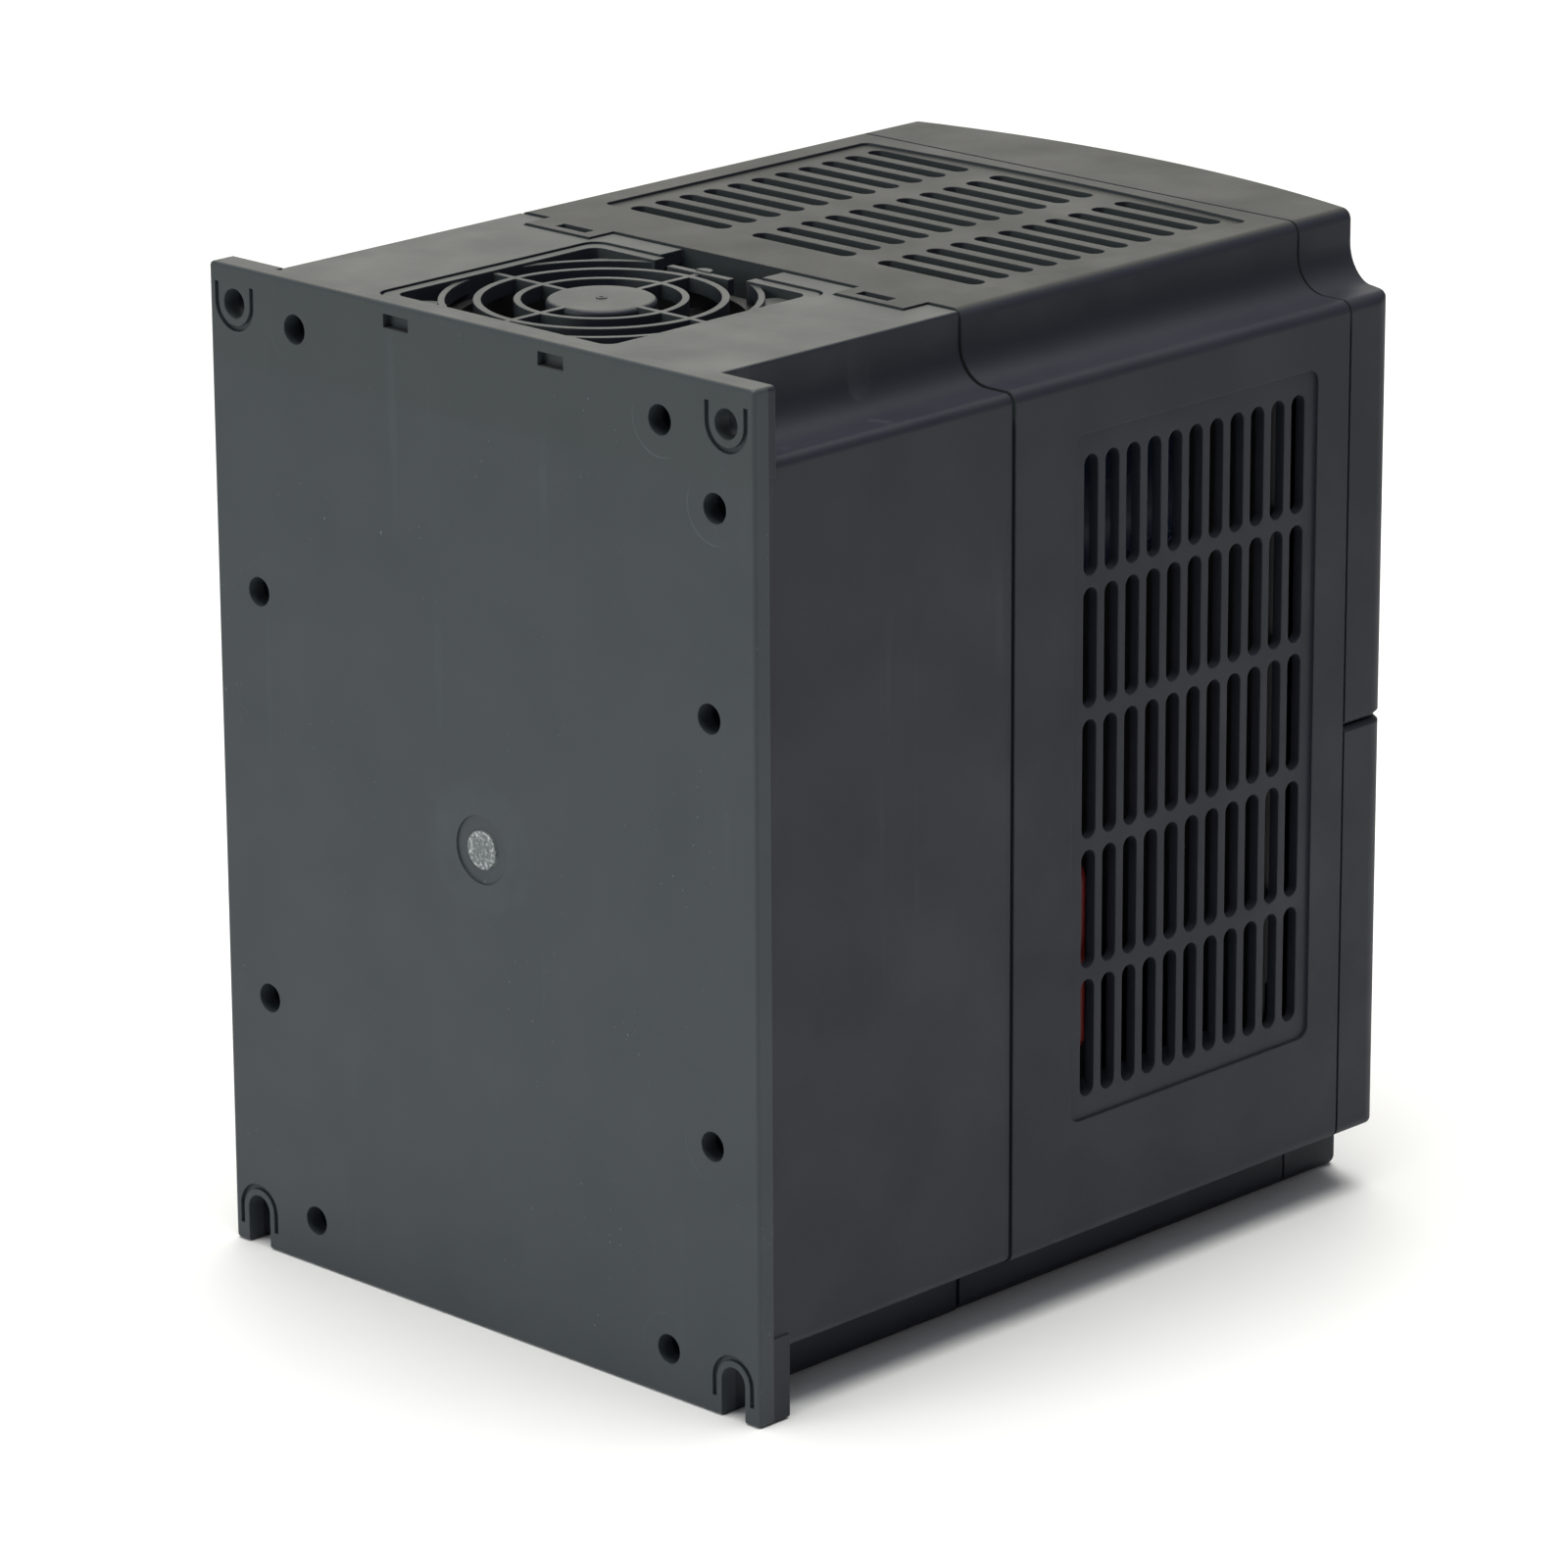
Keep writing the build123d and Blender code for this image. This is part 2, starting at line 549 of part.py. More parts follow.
def fan_frame():
    low, high = FAN_DECK + 0.1, FAN_DECK + FAN_THICK
    profile = RectangleRounded(FAN, FAN, 2.5) - Circle(FAN_BORE)
    profile -= GridLocations(40, 40, 2, 2) * Circle(2.1)
    centre = Pos(0, -FAN_CENTRE)
    frame = extrude(Plane.XY.offset(low) * centre * profile, high - low)
    waist = RectangleRounded(FAN + 2, FAN + 2, 2.5) - Circle(FAN_BORE + 1.0)
    waist -= GridLocations(40, 40, 2, 2) * Circle(4.2)
    waist -= Rectangle(36, FAN + 4) & Circle(FAN_BORE + 1.0)
    frame -= extrude(Plane.XY.offset(low + 2.4) * centre * waist, high - low - 4.8)

    # Motor seat on three struts, with the bearing tube standing on it
    struts = Circle(HUB_R - 0.3)
    for turn in (30, 150, 270):
        struts += Rot(0, 0, turn) * Pos(FAN_BORE / 2 + 3, 0) * Rectangle(FAN_BORE - 4, 2.2)
    struts = struts & Circle(FAN_BORE + 0.5)
    frame += extrude(Plane.XY.offset(low) * centre * struts, 1.8)
    frame += post(0, FAN_CENTRE, TUBE_R, low, high - 3.4)
    frame -= post(0, FAN_CENTRE, SHAFT_R + BEARING_GAP, low + 0.8, high)
    return frame


def fan_stator():
    """Four coils on a laminated core, pressed round the bearing tube."""
    low = FAN_DECK + 2.2
    core = Circle(3.6) + Rectangle(15.5, 2.4) + Rectangle(2.4, 15.5)
    core += [Rot(0, 0, turn) * Pos(7.6, 0) * Rectangle(1.2, 6.0) for turn in (0, 90, 180, 270)]
    core -= Circle(TUBE_R + 0.03)
    centre = Pos(0, -FAN_CENTRE)
    stator = extrude(Plane.XY.offset(low + 1.6) * centre * core, 3.2)
    coil = Rectangle(3.0, 5.0) - Rectangle(2.0, 2.4)
    for turn in (0, 90, 180, 270):
        place = Plane.XY.offset(low + 1.0) * centre * Rot(0, 0, turn) * Pos(5.4, 0)
        stator += extrude(place * coil, 4.4)
    return stator


def fan_blade(turn):
    """A twisted blade: steep beside the hub and flatter at the tip."""
    sections = []
    for reach, pitch in ((HUB_R - 0.6, 52.0), (17.0, 42.0), (BLADE_R + 1.0, 34.0)):
        plane = Plane(origin=(reach, 0, 0), x_dir=(0, 1, 0), z_dir=(1, 0, 0))
        chord = 9.5 + (reach - HUB_R) * 0.3
        sections.append(plane * Rot(0, 0, pitch) * SlotOverall(chord + 1.4, 1.1))
    return Rot(0, 0, turn) * loft(sections)


def fan_rotor():
    """Hub cup with its magnet ring and blades, turning on a thin steel shaft."""
    low, high = FAN_DECK + 2.4, FAN_DECK + FAN_THICK - 0.9
    middle = (low + high) / 2
    blades = Part() + [fan_blade(360 / BLADES * n) for n in range(BLADES)]
    blades = Pos(0, -FAN_CENTRE, middle) * blades
    blades = blades & post(0, FAN_CENTRE, BLADE_R, low + 0.3, high - 0.3)
    rotor = post(0, FAN_CENTRE, HUB_R, low, high)
    rotor = fillet(rotor.edges().sort_by(Axis.Z)[-1], 0.9)
    rotor += blades
    rotor -= post(0, FAN_CENTRE, HUB_R - 1.6, low - 1, high - 1.4)
    rotor += post(0, FAN_CENTRE, SHAFT_R, FAN_DECK + 1.0, high - 1.0)
    return rotor


def fan_plug():
    plug = block((-3.6, 3.6), (FAN_PLUG - 1.5, FAN_PLUG + 1.5), (FAN_DECK + 2.2, FAN_DECK + 9.0))
    return plug + block((-1.6, 1.6), (FAN_PLUG - 1.9, FAN_PLUG - 1.4), (FAN_DECK + 7, FAN_DECK + 9.0))


def fan_socket():
    socket = block((-5.0, 5.0), (FAN_PLUG - 2.3, FAN_PLUG + 2.3), (FAN_DECK, FAN_DECK + 6.2))
    return socket - block((-3.8, 3.8), (FAN_PLUG - 1.7, FAN_PLUG + 1.7), (FAN_DECK + 1.8, 99))


def fan_lead(x):
    """A short wire from the plug over to the side of the fan frame."""
    top = FAN_DECK + 9.0
    near = FAN_CENTRE + FAN / 2
    points = [(x, -FAN_PLUG, top), (x, -FAN_PLUG, top + 2.4), (x, -near, top + 2.4)]
    path = FilletPolyline(*points, radius=1.2)
    return sweep(Plane(origin=points[0], z_dir=(0, 0, 1)) * Circle(0.55), path=path)


# ---------------------------------------------------------------- heatsink and power parts

def heatsink():
    base = Pos(0, -(SINK_FRONT - SINK_BASE / 2)) * Rectangle(2 * SINK_X, SINK_BASE)
    span = SINK_FRONT - SINK_BASE / 2 - SINK_BACK
    pitch = (2 * SINK_X - FIN) / (FINS - 1)
    fins = GridLocations(pitch, 1, FINS, 1) * Rectangle(FIN, span)
    comb = base + Pos(0, -(SINK_BACK + span / 2)) * Sketch(fins)
    sink = extrude(Plane.XY.offset(SINK_Z[0]) * comb, SINK_Z[1] - SINK_Z[0])
    holes = [rod(x, z, 1.2, SINK_FRONT - 6, SINK_FRONT + 1) for x, z in MODULE_SCREWS]
    holes += [rod(x, z, SHORT_SHANK, SINK_FRONT - 7, SINK_FRONT + 1) for x, z in SINK_SCREWS]
    return sink - holes


def igbt_module():
    """A flat moulded power module with a raised middle and a screw hole at each end."""
    x, z = IGBT
    case = rounded_block(x, (SINK_FRONT, SINK_FRONT + IGBT_EAR), z, 1.5)
    case += rounded_block((x[0] + 9, x[1] - 8), (SINK_FRONT, SINK_FRONT + IGBT_HEIGHT), z, 1.5)
    return case - [rod(x, z, 1.7, 50, 90) for x, z in MODULE_SCREWS[:2]]


def rectifier_bridge():
    x, z = BRIDGE
    case = rounded_block(x, (SINK_FRONT, SINK_FRONT + BRIDGE_HEIGHT), z, 1.5)
    return case - [rod(x, z, 1.7, 50, 90) for x, z in MODULE_SCREWS[2:]]


def module_screws():
    seats = [SINK_FRONT + IGBT_EAR] * 2 + [SINK_FRONT + BRIDGE_HEIGHT] * 2
    screws = [
        pan_screw(x, z, seat, seat - SINK_FRONT + 5, shank_r=1.2)
        for (x, z), seat in zip(MODULE_SCREWS, seats)
    ]
    return group(screws)


def module_pins():
    """Solder pins that carry the two power modules' current up to the board."""
    pins = []
    for x in range(-24, 24, 6):
        for z in (-36.0, -8.0):
            pin = block((x - 0.6, x + 0.6), (SINK_FRONT + IGBT_HEIGHT, POWER_BOARD), (z - 0.4, z + 0.4))
            pins.append(pin)
    for x in (-15, -7, 3, 11):
        pins.append(block((x - 0.9, x + 0.9), (SINK_FRONT + BRIDGE_HEIGHT, POWER_BOARD), (24.6, 25.4)))
    return group(pins)


def power_board():
    board = rounded_block((-50.0, 50.0), (POWER_BOARD, POWER_BOARD + BOARD), (-70.0, 66.0), 1.5)
    board -= [rod(x, z, 1.6, 70, 80) for x, z in BOARD_SCREWS]
    return board


def internal_screws():
    """Sixteen identical screws: heatsink, power board, carrier and control board."""
    seats = [(SINK_SCREWS, WEB_FACE), (BOARD_SCREWS, POWER_BOARD + BOARD)]
    seats += [(CARRIER_SCREWS, CARRIER + CARRIER_THICK), (CONTROL_SCREWS, CONTROL_BOARD + BOARD)]
    return group([
        pan_screw(x, z, seat, 8.5, shank_r=SHORT_SHANK) for spots, seat in seats for x, z in spots
    ])


def bus_capacitor(x, z):
    """An electrolytic can: rolled crimp near the base, vent cross on its top."""
    top = ON_BOARD + CAPACITOR_HEIGHT
    can = rod(x, z, CAPACITOR_R, ON_BOARD, top)
    can = fillet(can.edges().sort_by(Axis.Y)[0], 1.0)
    can -= rod(x, z, CAPACITOR_R + 1, ON_BOARD + 4, ON_BOARD + 5) - rod(x, z, CAPACITOR_R - 0.7, 0, 200)
    for turn in (45, 135):
        bar = Pos(x, z) * Rot(0, 0, turn) * Rectangle(15, 0.6)
        can -= slab(bar, top - 0.4, top + 1)
    return can


def transformer_core():
    outer = block((22, 48), (ON_BOARD + 5, ON_BOARD + 27), (-20, 8))
    for x in ((26.5, 31.2), (38.8, 43.5)):
        outer -= block(x, (ON_BOARD + 4, ON_BOARD + 28), (-14.5, 2.5))
    return outer


def transformer_winding():
    bobbin = block((25, 45), (ON_BOARD, ON_BOARD + 4.9), (-21, 9))
    winding = block((26.7, 43.3), (ON_BOARD + 5.1, ON_BOARD + 26.9), (-14.3, 2.3))
    winding -= block((31.2, 38.8), (ON_BOARD + 5, ON_BOARD + 28), (-20, 9))
    legs = block((26.7, 31.0), (ON_BOARD + 4, ON_BOARD + 6), (-14, 2))
    legs += block((39.0, 43.3), (ON_BOARD + 4, ON_BOARD + 6), (-14, 2))
    return bobbin + winding + legs


def filter_choke():
    """A toroid with two wound halves, standing flat on the board."""
    inner, outer = CHOKE_R
    ring = rod(*CHOKE, outer, ON_BOARD + 1, ON_BOARD + 11) - rod(*CHOKE, inner, 60, 110)
    for turn in range(-60, 61, 15):
        for flip in (0, 180):
            strap = rounded_block(
                (inner - 0.9, outer + 0.9), (ON_BOARD + 0.1, ON_BOARD + 11.9), (-0.8, 0.8), 0.5
            )
            ring += Pos(CHOKE[0], 0, CHOKE[1]) * Rot(0, turn + flip, 0) * strap
    return ring


def film_capacitor():
    return fillet(
        block((-18, 10), (ON_BOARD, ON_BOARD + 19), (-2, 8)).edges().filter_by(Axis.Y), 0.8
    )


def precharge_relay():
    case = block((34, 49), (ON_BOARD, ON_BOARD + 20), (14, 36))
    return fillet(case.edges().filter_by(Axis.Y) + case.faces().sort_by(Axis.Y)[0].edges(), 0.7)


def current_sensor(x):
    """A closed-ring sensor with one phase's busbar running through it."""
    case = rounded_block((x - 8, x + 8), (ON_BOARD, ON_BOARD + 20), (-37, -26), 1.0)
    return case - block((x - 3, x + 3), (ON_BOARD + 7, ON_BOARD + 13), (-40, -20))


def phase_bars():
    """Copper bars from the board, through each sensor, down to the terminal block."""
    bars = []
    for x in SENSORS:
        bar = block((x - 2.2, x + 2.2), (ON_BOARD + 9, ON_BOARD + 10.4), (-46.9, -23))
        bar += block((x - 2.2, x + 2.2), (ON_BOARD, ON_BOARD + 10.4), (-24.4, -23))
        bars.append(bar)
    return group(bars)


def terminal_x(number):
    return (number - (TERMINALS - 1) / 2) * TERMINAL_PITCH


def main_terminal_block():
    """A barrier strip: one open cell per terminal, with walls between them."""
    half = TERMINALS * TERMINAL_PITCH / 2
    strip = block((-half, half), (ON_BOARD, TERMINAL_TOP), TERMINAL_Z)
    for number in range(TERMINALS):
        x = terminal_x(number)
        cell = (x - TERMINAL_PITCH / 2 + 0.8, x + TERMINAL_PITCH / 2 - 0.8)
        strip -= block(cell, (ON_BOARD + 10, TERMINAL_TOP + 1), (TERMINAL_Z[0] - 1, TERMINAL_Z[1] - 5))
        strip -= rod(x, TERMINAL_SCREW_Z, 1.75, ON_BOARD + 3, ON_BOARD + 12)
    for side in (-1, 1):
        x = side * (half - 0.1)
        foot = sorted((x, x + side * 2.0))
        strip += block(foot, (ON_BOARD, ON_BOARD + 3), (-62, -54))
    return strip


def terminal_screws():
    """Each screw carries its own square pressure plate."""
    screws = []
    for number in range(TERMINALS):
        x = terminal_x(number)
        seat = TERMINAL_SEAT + (LINK if number in LINKED else 0.0)
        screw = pan_screw(x, TERMINAL_SCREW_Z, seat, 6.0, head_r=2.9, head=2.2, shank_r=1.7)
        plate = block((x - 3.6, x + 3.6), (ON_BOARD + 10, TERMINAL_SEAT), (-64.5, -54.5))
        screws.append(screw + plate)
    return group(screws)


def terminal_link():
    """The removable bar that joins the two DC terminals, below the wall between them."""
    low, high = (terminal_x(number) for number in LINKED)
    layer = (TERMINAL_SEAT, TERMINAL_SEAT + LINK)
    bar = block((low - 2.6, high + 2.6), layer, (-71.5, -69.2))
    for x in (low, high):
        bar += block((x - 2.6, x + 2.6), layer, (-70, -54.5))
    return bar - [rod(x, TERMINAL_SCREW_Z, 1.75, 80, 100) for x in (low, high)]


def dc_lead():
    """Insulated red wire beside the power board, down to the end of the terminal block."""
    y = -(ON_BOARD + 4.5)
    points = [
        (-46.5, -ON_BOARD, -12.0), (-46.5, y, -12.0), (LEAD_X, y, -12.0),
        (LEAD_X, y, -43.5), (-45.0, y, -43.5), (-45.0, y, TERMINAL_Z[1]),
    ]
    path = FilletPolyline(*points, radius=2.2)
    return sweep(Plane(origin=points[0], z_dir=(0, -1, 0)) * Circle(LEAD_R), path=path)


# ---------------------------------------------------------------- control electronics

def board_carrier():
    """Plastic plate across the shell, open below where the power terminals are reached."""
    plate = rounded_block((-59.0, 59.0), (CARRIER, CARRIER + CARRIER_THICK), (-58.0, 70.0), 3)
    plate -= block((-49.0, 49.0), (100, 140), (-60, -44))
    plate -= [rod(x, z, 1.6, 100, 140) for x, z in CARRIER_SCREWS]
    plate -= block((RIBBON_X[0] - 2, RIBBON_X[1] + 2), (100, 140), (RIBBON_Z[0] - 3, RIBBON_Z[1] + 3))
    rim = rounded_block((-59, 59), (CARRIER, CARRIER + 5), (-44, 70), 3)
    rim -= rounded_block((-57.4, 57.4), (CARRIER - 1, CARRIER + 6), (-42.4, 68.4), 2)
    plate += rim - [rod(x, z, 4.2, CARRIER + CARRIER_THICK, 140) for x, z in CARRIER_SCREWS]
    plate += [rod(x, z, 3.2, CARRIER, CONTROL_BOARD) for x, z in CONTROL_SCREWS]
    holes = [rod(x, z, SHORT_SHANK, CARRIER - 1, CONTROL_BOARD + 1) for x, z in CONTROL_SCREWS]
    return plate - holes


def control_board():
    board = rounded_block((-46, 46), (CONTROL_BOARD, CONTROL_BOARD + BOARD), (-40, 64), 1.5)
    board -= [rod(x, z, 1.6, 120, 140) for x, z in CONTROL_SCREWS]
    return board


def control_terminal_block():
    """A row of small screw terminals with wire holes facing down."""
    half = CONTROL_WAYS * CONTROL_PITCH / 2
    strip = block((-half, half), (CONTROL_TOP, CONTROL_TOP + 10), (-39, -30))
    for way in range(CONTROL_WAYS):
        x = (way - (CONTROL_WAYS - 1) / 2) * CONTROL_PITCH
        strip -= rod(x, CONTROL_SCREW_Z, 1.7, CONTROL_TOP + 5.5, CONTROL_TOP + 11)
        strip -= block((x - 1.6, x + 1.6), (CONTROL_TOP + 1.2, CONTROL_TOP + 4.6), (-40, -32))
    return strip


def control_terminal_screws():
    screws = []
    for way in range(CONTROL_WAYS):
        x = (way - (CONTROL_WAYS - 1) / 2) * CONTROL_PITCH
        screw = rod(x, CONTROL_SCREW_Z, 1.65, CONTROL_TOP + 5.5, CONTROL_TOP + 7.5)
        screws.append(screw - block((x - 1.7, x + 1.7), (CONTROL_TOP + 7, 150), (-34.3, -33.7)))
    return group(screws)


def control_chips():
    """The processor, its companions and the crystal on the control board."""
    chips = [
        block((-8, 6), (CONTROL_TOP, CONTROL_TOP + 1.4), (-12, 2)),
        block((-32, -22), (CONTROL_TOP, CONTROL_TOP + 1.6), (-6, 0)),
        block((18, 26), (CONTROL_TOP, CONTROL_TOP + 1.6), (-8, -3)),
        block((22, 33), (CONTROL_TOP, CONTROL_TOP + 3.4), (8, 12)),
        block((-34, -24), (CONTROL_TOP, CONTROL_TOP + 1.6), (14, 21)),
    ]
    return group(chips)


def keypad_socket():
    socket = block((-8, 8), (CONTROL_TOP, CONTROL_TOP + 11.6), (34.5, 49.5))
    return socket - block((-6, 6), (CONTROL_TOP + 3, 150), (37.5, 46.5))


def ribbon_cable():
    """Flat cable that joins the power board to the control board, through the carrier."""
    return block(RIBBON_X, (ON_BOARD + 6.0, CONTROL_BOARD - 2.6), RIBBON_Z)


def ribbon_headers():
    x = (RIBBON_X[0] - 1.5, RIBBON_X[1] + 1.5)
    z = (RIBBON_Z[0] - 2, RIBBON_Z[1] + 2)
    return group([
        block(x, (ON_BOARD, ON_BOARD + 6.0), z),
        block((x[0] + 1, x[1] - 1), (CONTROL_BOARD - 2.6, CONTROL_BOARD), (z[0] + 0.3, z[1] - 0.3)),
    ])


# ---------------------------------------------------------------- keypad

def button_face(name, grow=0.0):
    x, z = BUTTON_GRID[name]
    width, height = (14.0, 8.4) if name in WIDE_BUTTONS else (9.4, 8.0)
    return Pos(x, z) * RectangleRounded(width + 2 * grow, height + 2 * grow, 2.2 + grow)


def keypad_bow(drop=0.0):
    depth = DEPTH + KEYPAD_PROUD - drop
    return bow(depth, KEYPAD_Z[0] - 5, KEYPAD_Z[1] + 5, corner=0, half_width=45)


def keypad_housing():
    low, high = KEYPAD_Z
    x = (-KEYPAD_X, KEYPAD_X)
    case = rounded_block(x, (KEYPAD_BACK + 1.8, 170), KEYPAD_Z, 3.0) & keypad_bow()
    front = [e for e in case.edges() if e.center().Y < -155 and e.length > 20]
    case = fillet(front, 0.7)
    hollow = rounded_block((x[0] + 1.6, x[1] - 1.6), (140, 170), (low + 1.6, high - 1.6), 1.6)
    case -= hollow & keypad_bow(KEYPAD_FACE)
    wx, wz = WINDOW
    case -= rounded_block((wx[0] - 0.1, wx[1] + 0.1), (155, 175), (wz[0] - 0.1, wz[1] + 0.1), 1.6) & (
        bow(DEPTH + 9, 50, 80, corner=0) - keypad_bow(1.2)
    )
    case -= rounded_block((wx[0] + 1.5, wx[1] - 1.5), (140, 175), (wz[0] + 1.5, wz[1] - 1.5), 1.0)
    for name in BUTTON_GRID:
        case -= slab(button_face(name, 0.3), 150, 175)
    case -= rod(*KNOB, POT_SHAFT_R + 1.2, 150, 175)
    for x_led in STATUS_X:
        case -= rod(x_led, STATUS_Z, 1.25, 150, 175)
    return case


def keypad_back():
    low, high = KEYPAD_Z
    cover = rounded_block((-KEYPAD_X, KEYPAD_X), (KEYPAD_BACK, KEYPAD_BACK + 1.8), KEYPAD_Z, 3.0)
    cover -= block((-8, 8), (140, 160), (35, 49))
    for x in (-27.0, 27.0):
        for z in (14.0, 56.0):
            cover += rod(x, z, 1.8, KEYPAD_BACK + 1, KEYPAD_BOARD_BACK)
    return cover


def display_window():
    wx, wz = WINDOW
    pane = rounded_block(wx, (155, 170), wz, 1.5)
    return pane & (keypad_bow(0.15) - keypad_bow(1.15))


def display_module():
    wx, wz = WINDOW
    body = block((wx[0] + 2.2, wx[1] - 2.2), (KEYPAD_BOARD_FACE, DEPTH - 3.4), (wz[0] + 2.2, wz[1] - 2.2))
    digits = []
    for place in range(DIGITS):
        x = (place - (DIGITS - 1) / 2) * DIGIT_PITCH
        digits.append(block((x - 2.2, x + 2.2), (DEPTH - 3.5, DEPTH - 3.3), (61, 68.5)))
    return body - digits


def keypad_board():
    x, (low, high) = KEYPAD_X - 2.0, KEYPAD_Z
    return rounded_block((-x, x), (KEYPAD_BOARD_BACK, KEYPAD_BOARD_FACE), (low + 2, high - 2), 1.4)


def keypad_plug():
    plug = block((-5.6, 5.6), (CONTROL_TOP + 4.0, KEYPAD_BOARD_BACK), (37.9, 46.1))
    return plug + block((-7.6, 7.6), (KEYPAD_BACK + 0.4, KEYPAD_BOARD_BACK), (35.4, 48.6))


def tact_switches():
    switches = []
    for x, z in BUTTON_GRID.values():
        body = block((x - 2.6, x + 2.6), (KEYPAD_BOARD_FACE, KEYPAD_BOARD_FACE + 1.8), (z - 2.6, z + 2.6))
        switches.append(body + rod(x, z, 1.4, KEYPAD_BOARD_FACE + 1.7, KEYPAD_BOARD_FACE + 2.3))
    return group(switches)


def status_leds():
    return group([rod(x, STATUS_Z, 1.0, KEYPAD_BOARD_FACE, DEPTH - 1.1) for x in STATUS_X])


def button(name):
    """A domed cap with a flange behind the face and a stem over its switch."""
    cap = slab(button_face(name), DEPTH - 4.6, DEPTH + 3) & bow(
        DEPTH + KEYPAD_PROUD + BUTTON_PROUD, 5, 80, corner=0, half_width=45
    )
    top = [e for e in cap.edges() if e.center().Y < -(DEPTH - 1) and e.length > 3]
    cap = fillet(top, 0.8)
    x, z = BUTTON_GRID[name]
    cap += slab(button_face(name, 0.9), DEPTH - 4.6, DEPTH - 3.6)
    cap += rod(x, z, 1.3, KEYPAD_BOARD_FACE + 2.3 + BUTTON_TRAVEL + 0.15, DEPTH - 4)
    return cap + button_symbol(name)


def button_symbol(name):
    """A raised plain sign: a triangle up or down, a bar, a ring or a dot."""
    x, z = BUTTON_GRID[name]
    crown = DEPTH + KEYPAD_PROUD + BUTTON_PROUD
    signs = {
        "up": Pos(x, z - 0.3) * Rot(0, 0, 90) * RegularPolygon(2.0, 3),
        "down": Pos(x, z + 0.3) * Rot(0, 0, -90) * RegularPolygon(2.0, 3),
        "shift": Pos(x, z) * (Rectangle(4.4, 0.8) + Rectangle(0.8, 4.4)),
        "jog": Pos(x, z) * (Circle(2.1) - Circle(1.3)),
        "program": Pos(x, z) * (Pos(0, 1) * Rectangle(4.2, 0.8) + Pos(0, -1) * Rectangle(4.2, 0.8)),
        "enter": Pos(x, z) * Circle(1.5),
        "run": Pos(x - 0.4, z) * RegularPolygon(2.2, 3),
        "stop": Pos(x, z) * Rectangle(3.2, 3.2),
    }
    sign = slab(signs[name], crown - 4, crown + 2)
    return sign & bow(crown + 0.25, 5, 80, corner=0, half_width=45)


def potentiometer():
    body = rod(*KNOB, 6.0, KEYPAD_BOARD_FACE, KEYPAD_BOARD_FACE + 4.2)
    return body - rod(*KNOB, 1.5 + BEARING_GAP, KEYPAD_BOARD_FACE + 0.8, 170)


def speed_knob():
    """A fluted knob with a pointer line, on the potentiometer's spindle."""
    near, far = DEPTH + 1.3, DEPTH + 7.6
    knob = rod(*KNOB, KNOB_R, near, far)
    knob = fillet(knob.edges().sort_by(Axis.Y)[0], 0.9)
    for turn in range(0, 360, 20):
        angle = math.radians(turn)
        knob -= rod(
            KNOB[0] + KNOB_R * math.sin(angle), KNOB[1] + KNOB_R * math.cos(angle), 0.55, near - 1, far - 1.2
        )
    knob -= block((KNOB[0] - 0.4, KNOB[0] + 0.4), (far - 0.4, far + 1), (KNOB[1] + 1.5, KNOB[1] + 8))
    knob += rod(*KNOB, POT_SHAFT_R, KEYPAD_BOARD_FACE + 4.4, near + 1)
    return knob + rod(*KNOB, 1.5, KEYPAD_BOARD_FACE + 1.0, near)


# ---------------------------------------------------------------- build every sub-part

def build():
    os.makedirs("parts", exist_ok=True)
    makers = [
        rear_housing, rear_screws, middle_shell, internal_screws, cable_entry_plate,
        upper_front_cover, lower_front_cover, terminal_cover_screw,
        fan_guard, fan_frame, fan_stator, fan_rotor, fan_plug, fan_socket,
        heatsink, igbt_module, rectifier_bridge, module_screws, module_pins,
        power_board, transformer_core, transformer_winding, filter_choke, film_capacitor,
        precharge_relay, phase_bars, main_terminal_block, terminal_screws, terminal_link, dc_lead,
        board_carrier, control_board, control_terminal_block, control_terminal_screws,
        control_chips, keypad_socket, ribbon_cable, ribbon_headers,
        keypad_housing, keypad_back, display_window, display_module, keypad_board,
        keypad_plug, tact_switches, status_leds, potentiometer, speed_knob,
    ]
    for maker in makers:
        save(maker.__name__, maker())
    save("cable_grommets", group([cable_grommet(x) for x in CABLE_X]))
    save("fan_leads", group([fan_lead(x) for x in (-1.8, 1.8)]))
    save("bus_capacitors", group([bus_capacitor(x, z) for x, z in CAPACITORS]))
    save("current_sensors", group([current_sensor(x) for x in SENSORS]))
    for name in BUTTON_GRID:
        save(f"{name}_button", button(name))


build()
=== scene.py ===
import json
import math
import random

import bmesh
import bpy
from mathutils import Matrix, Vector
from mathutils.bvhtree import BVHTree


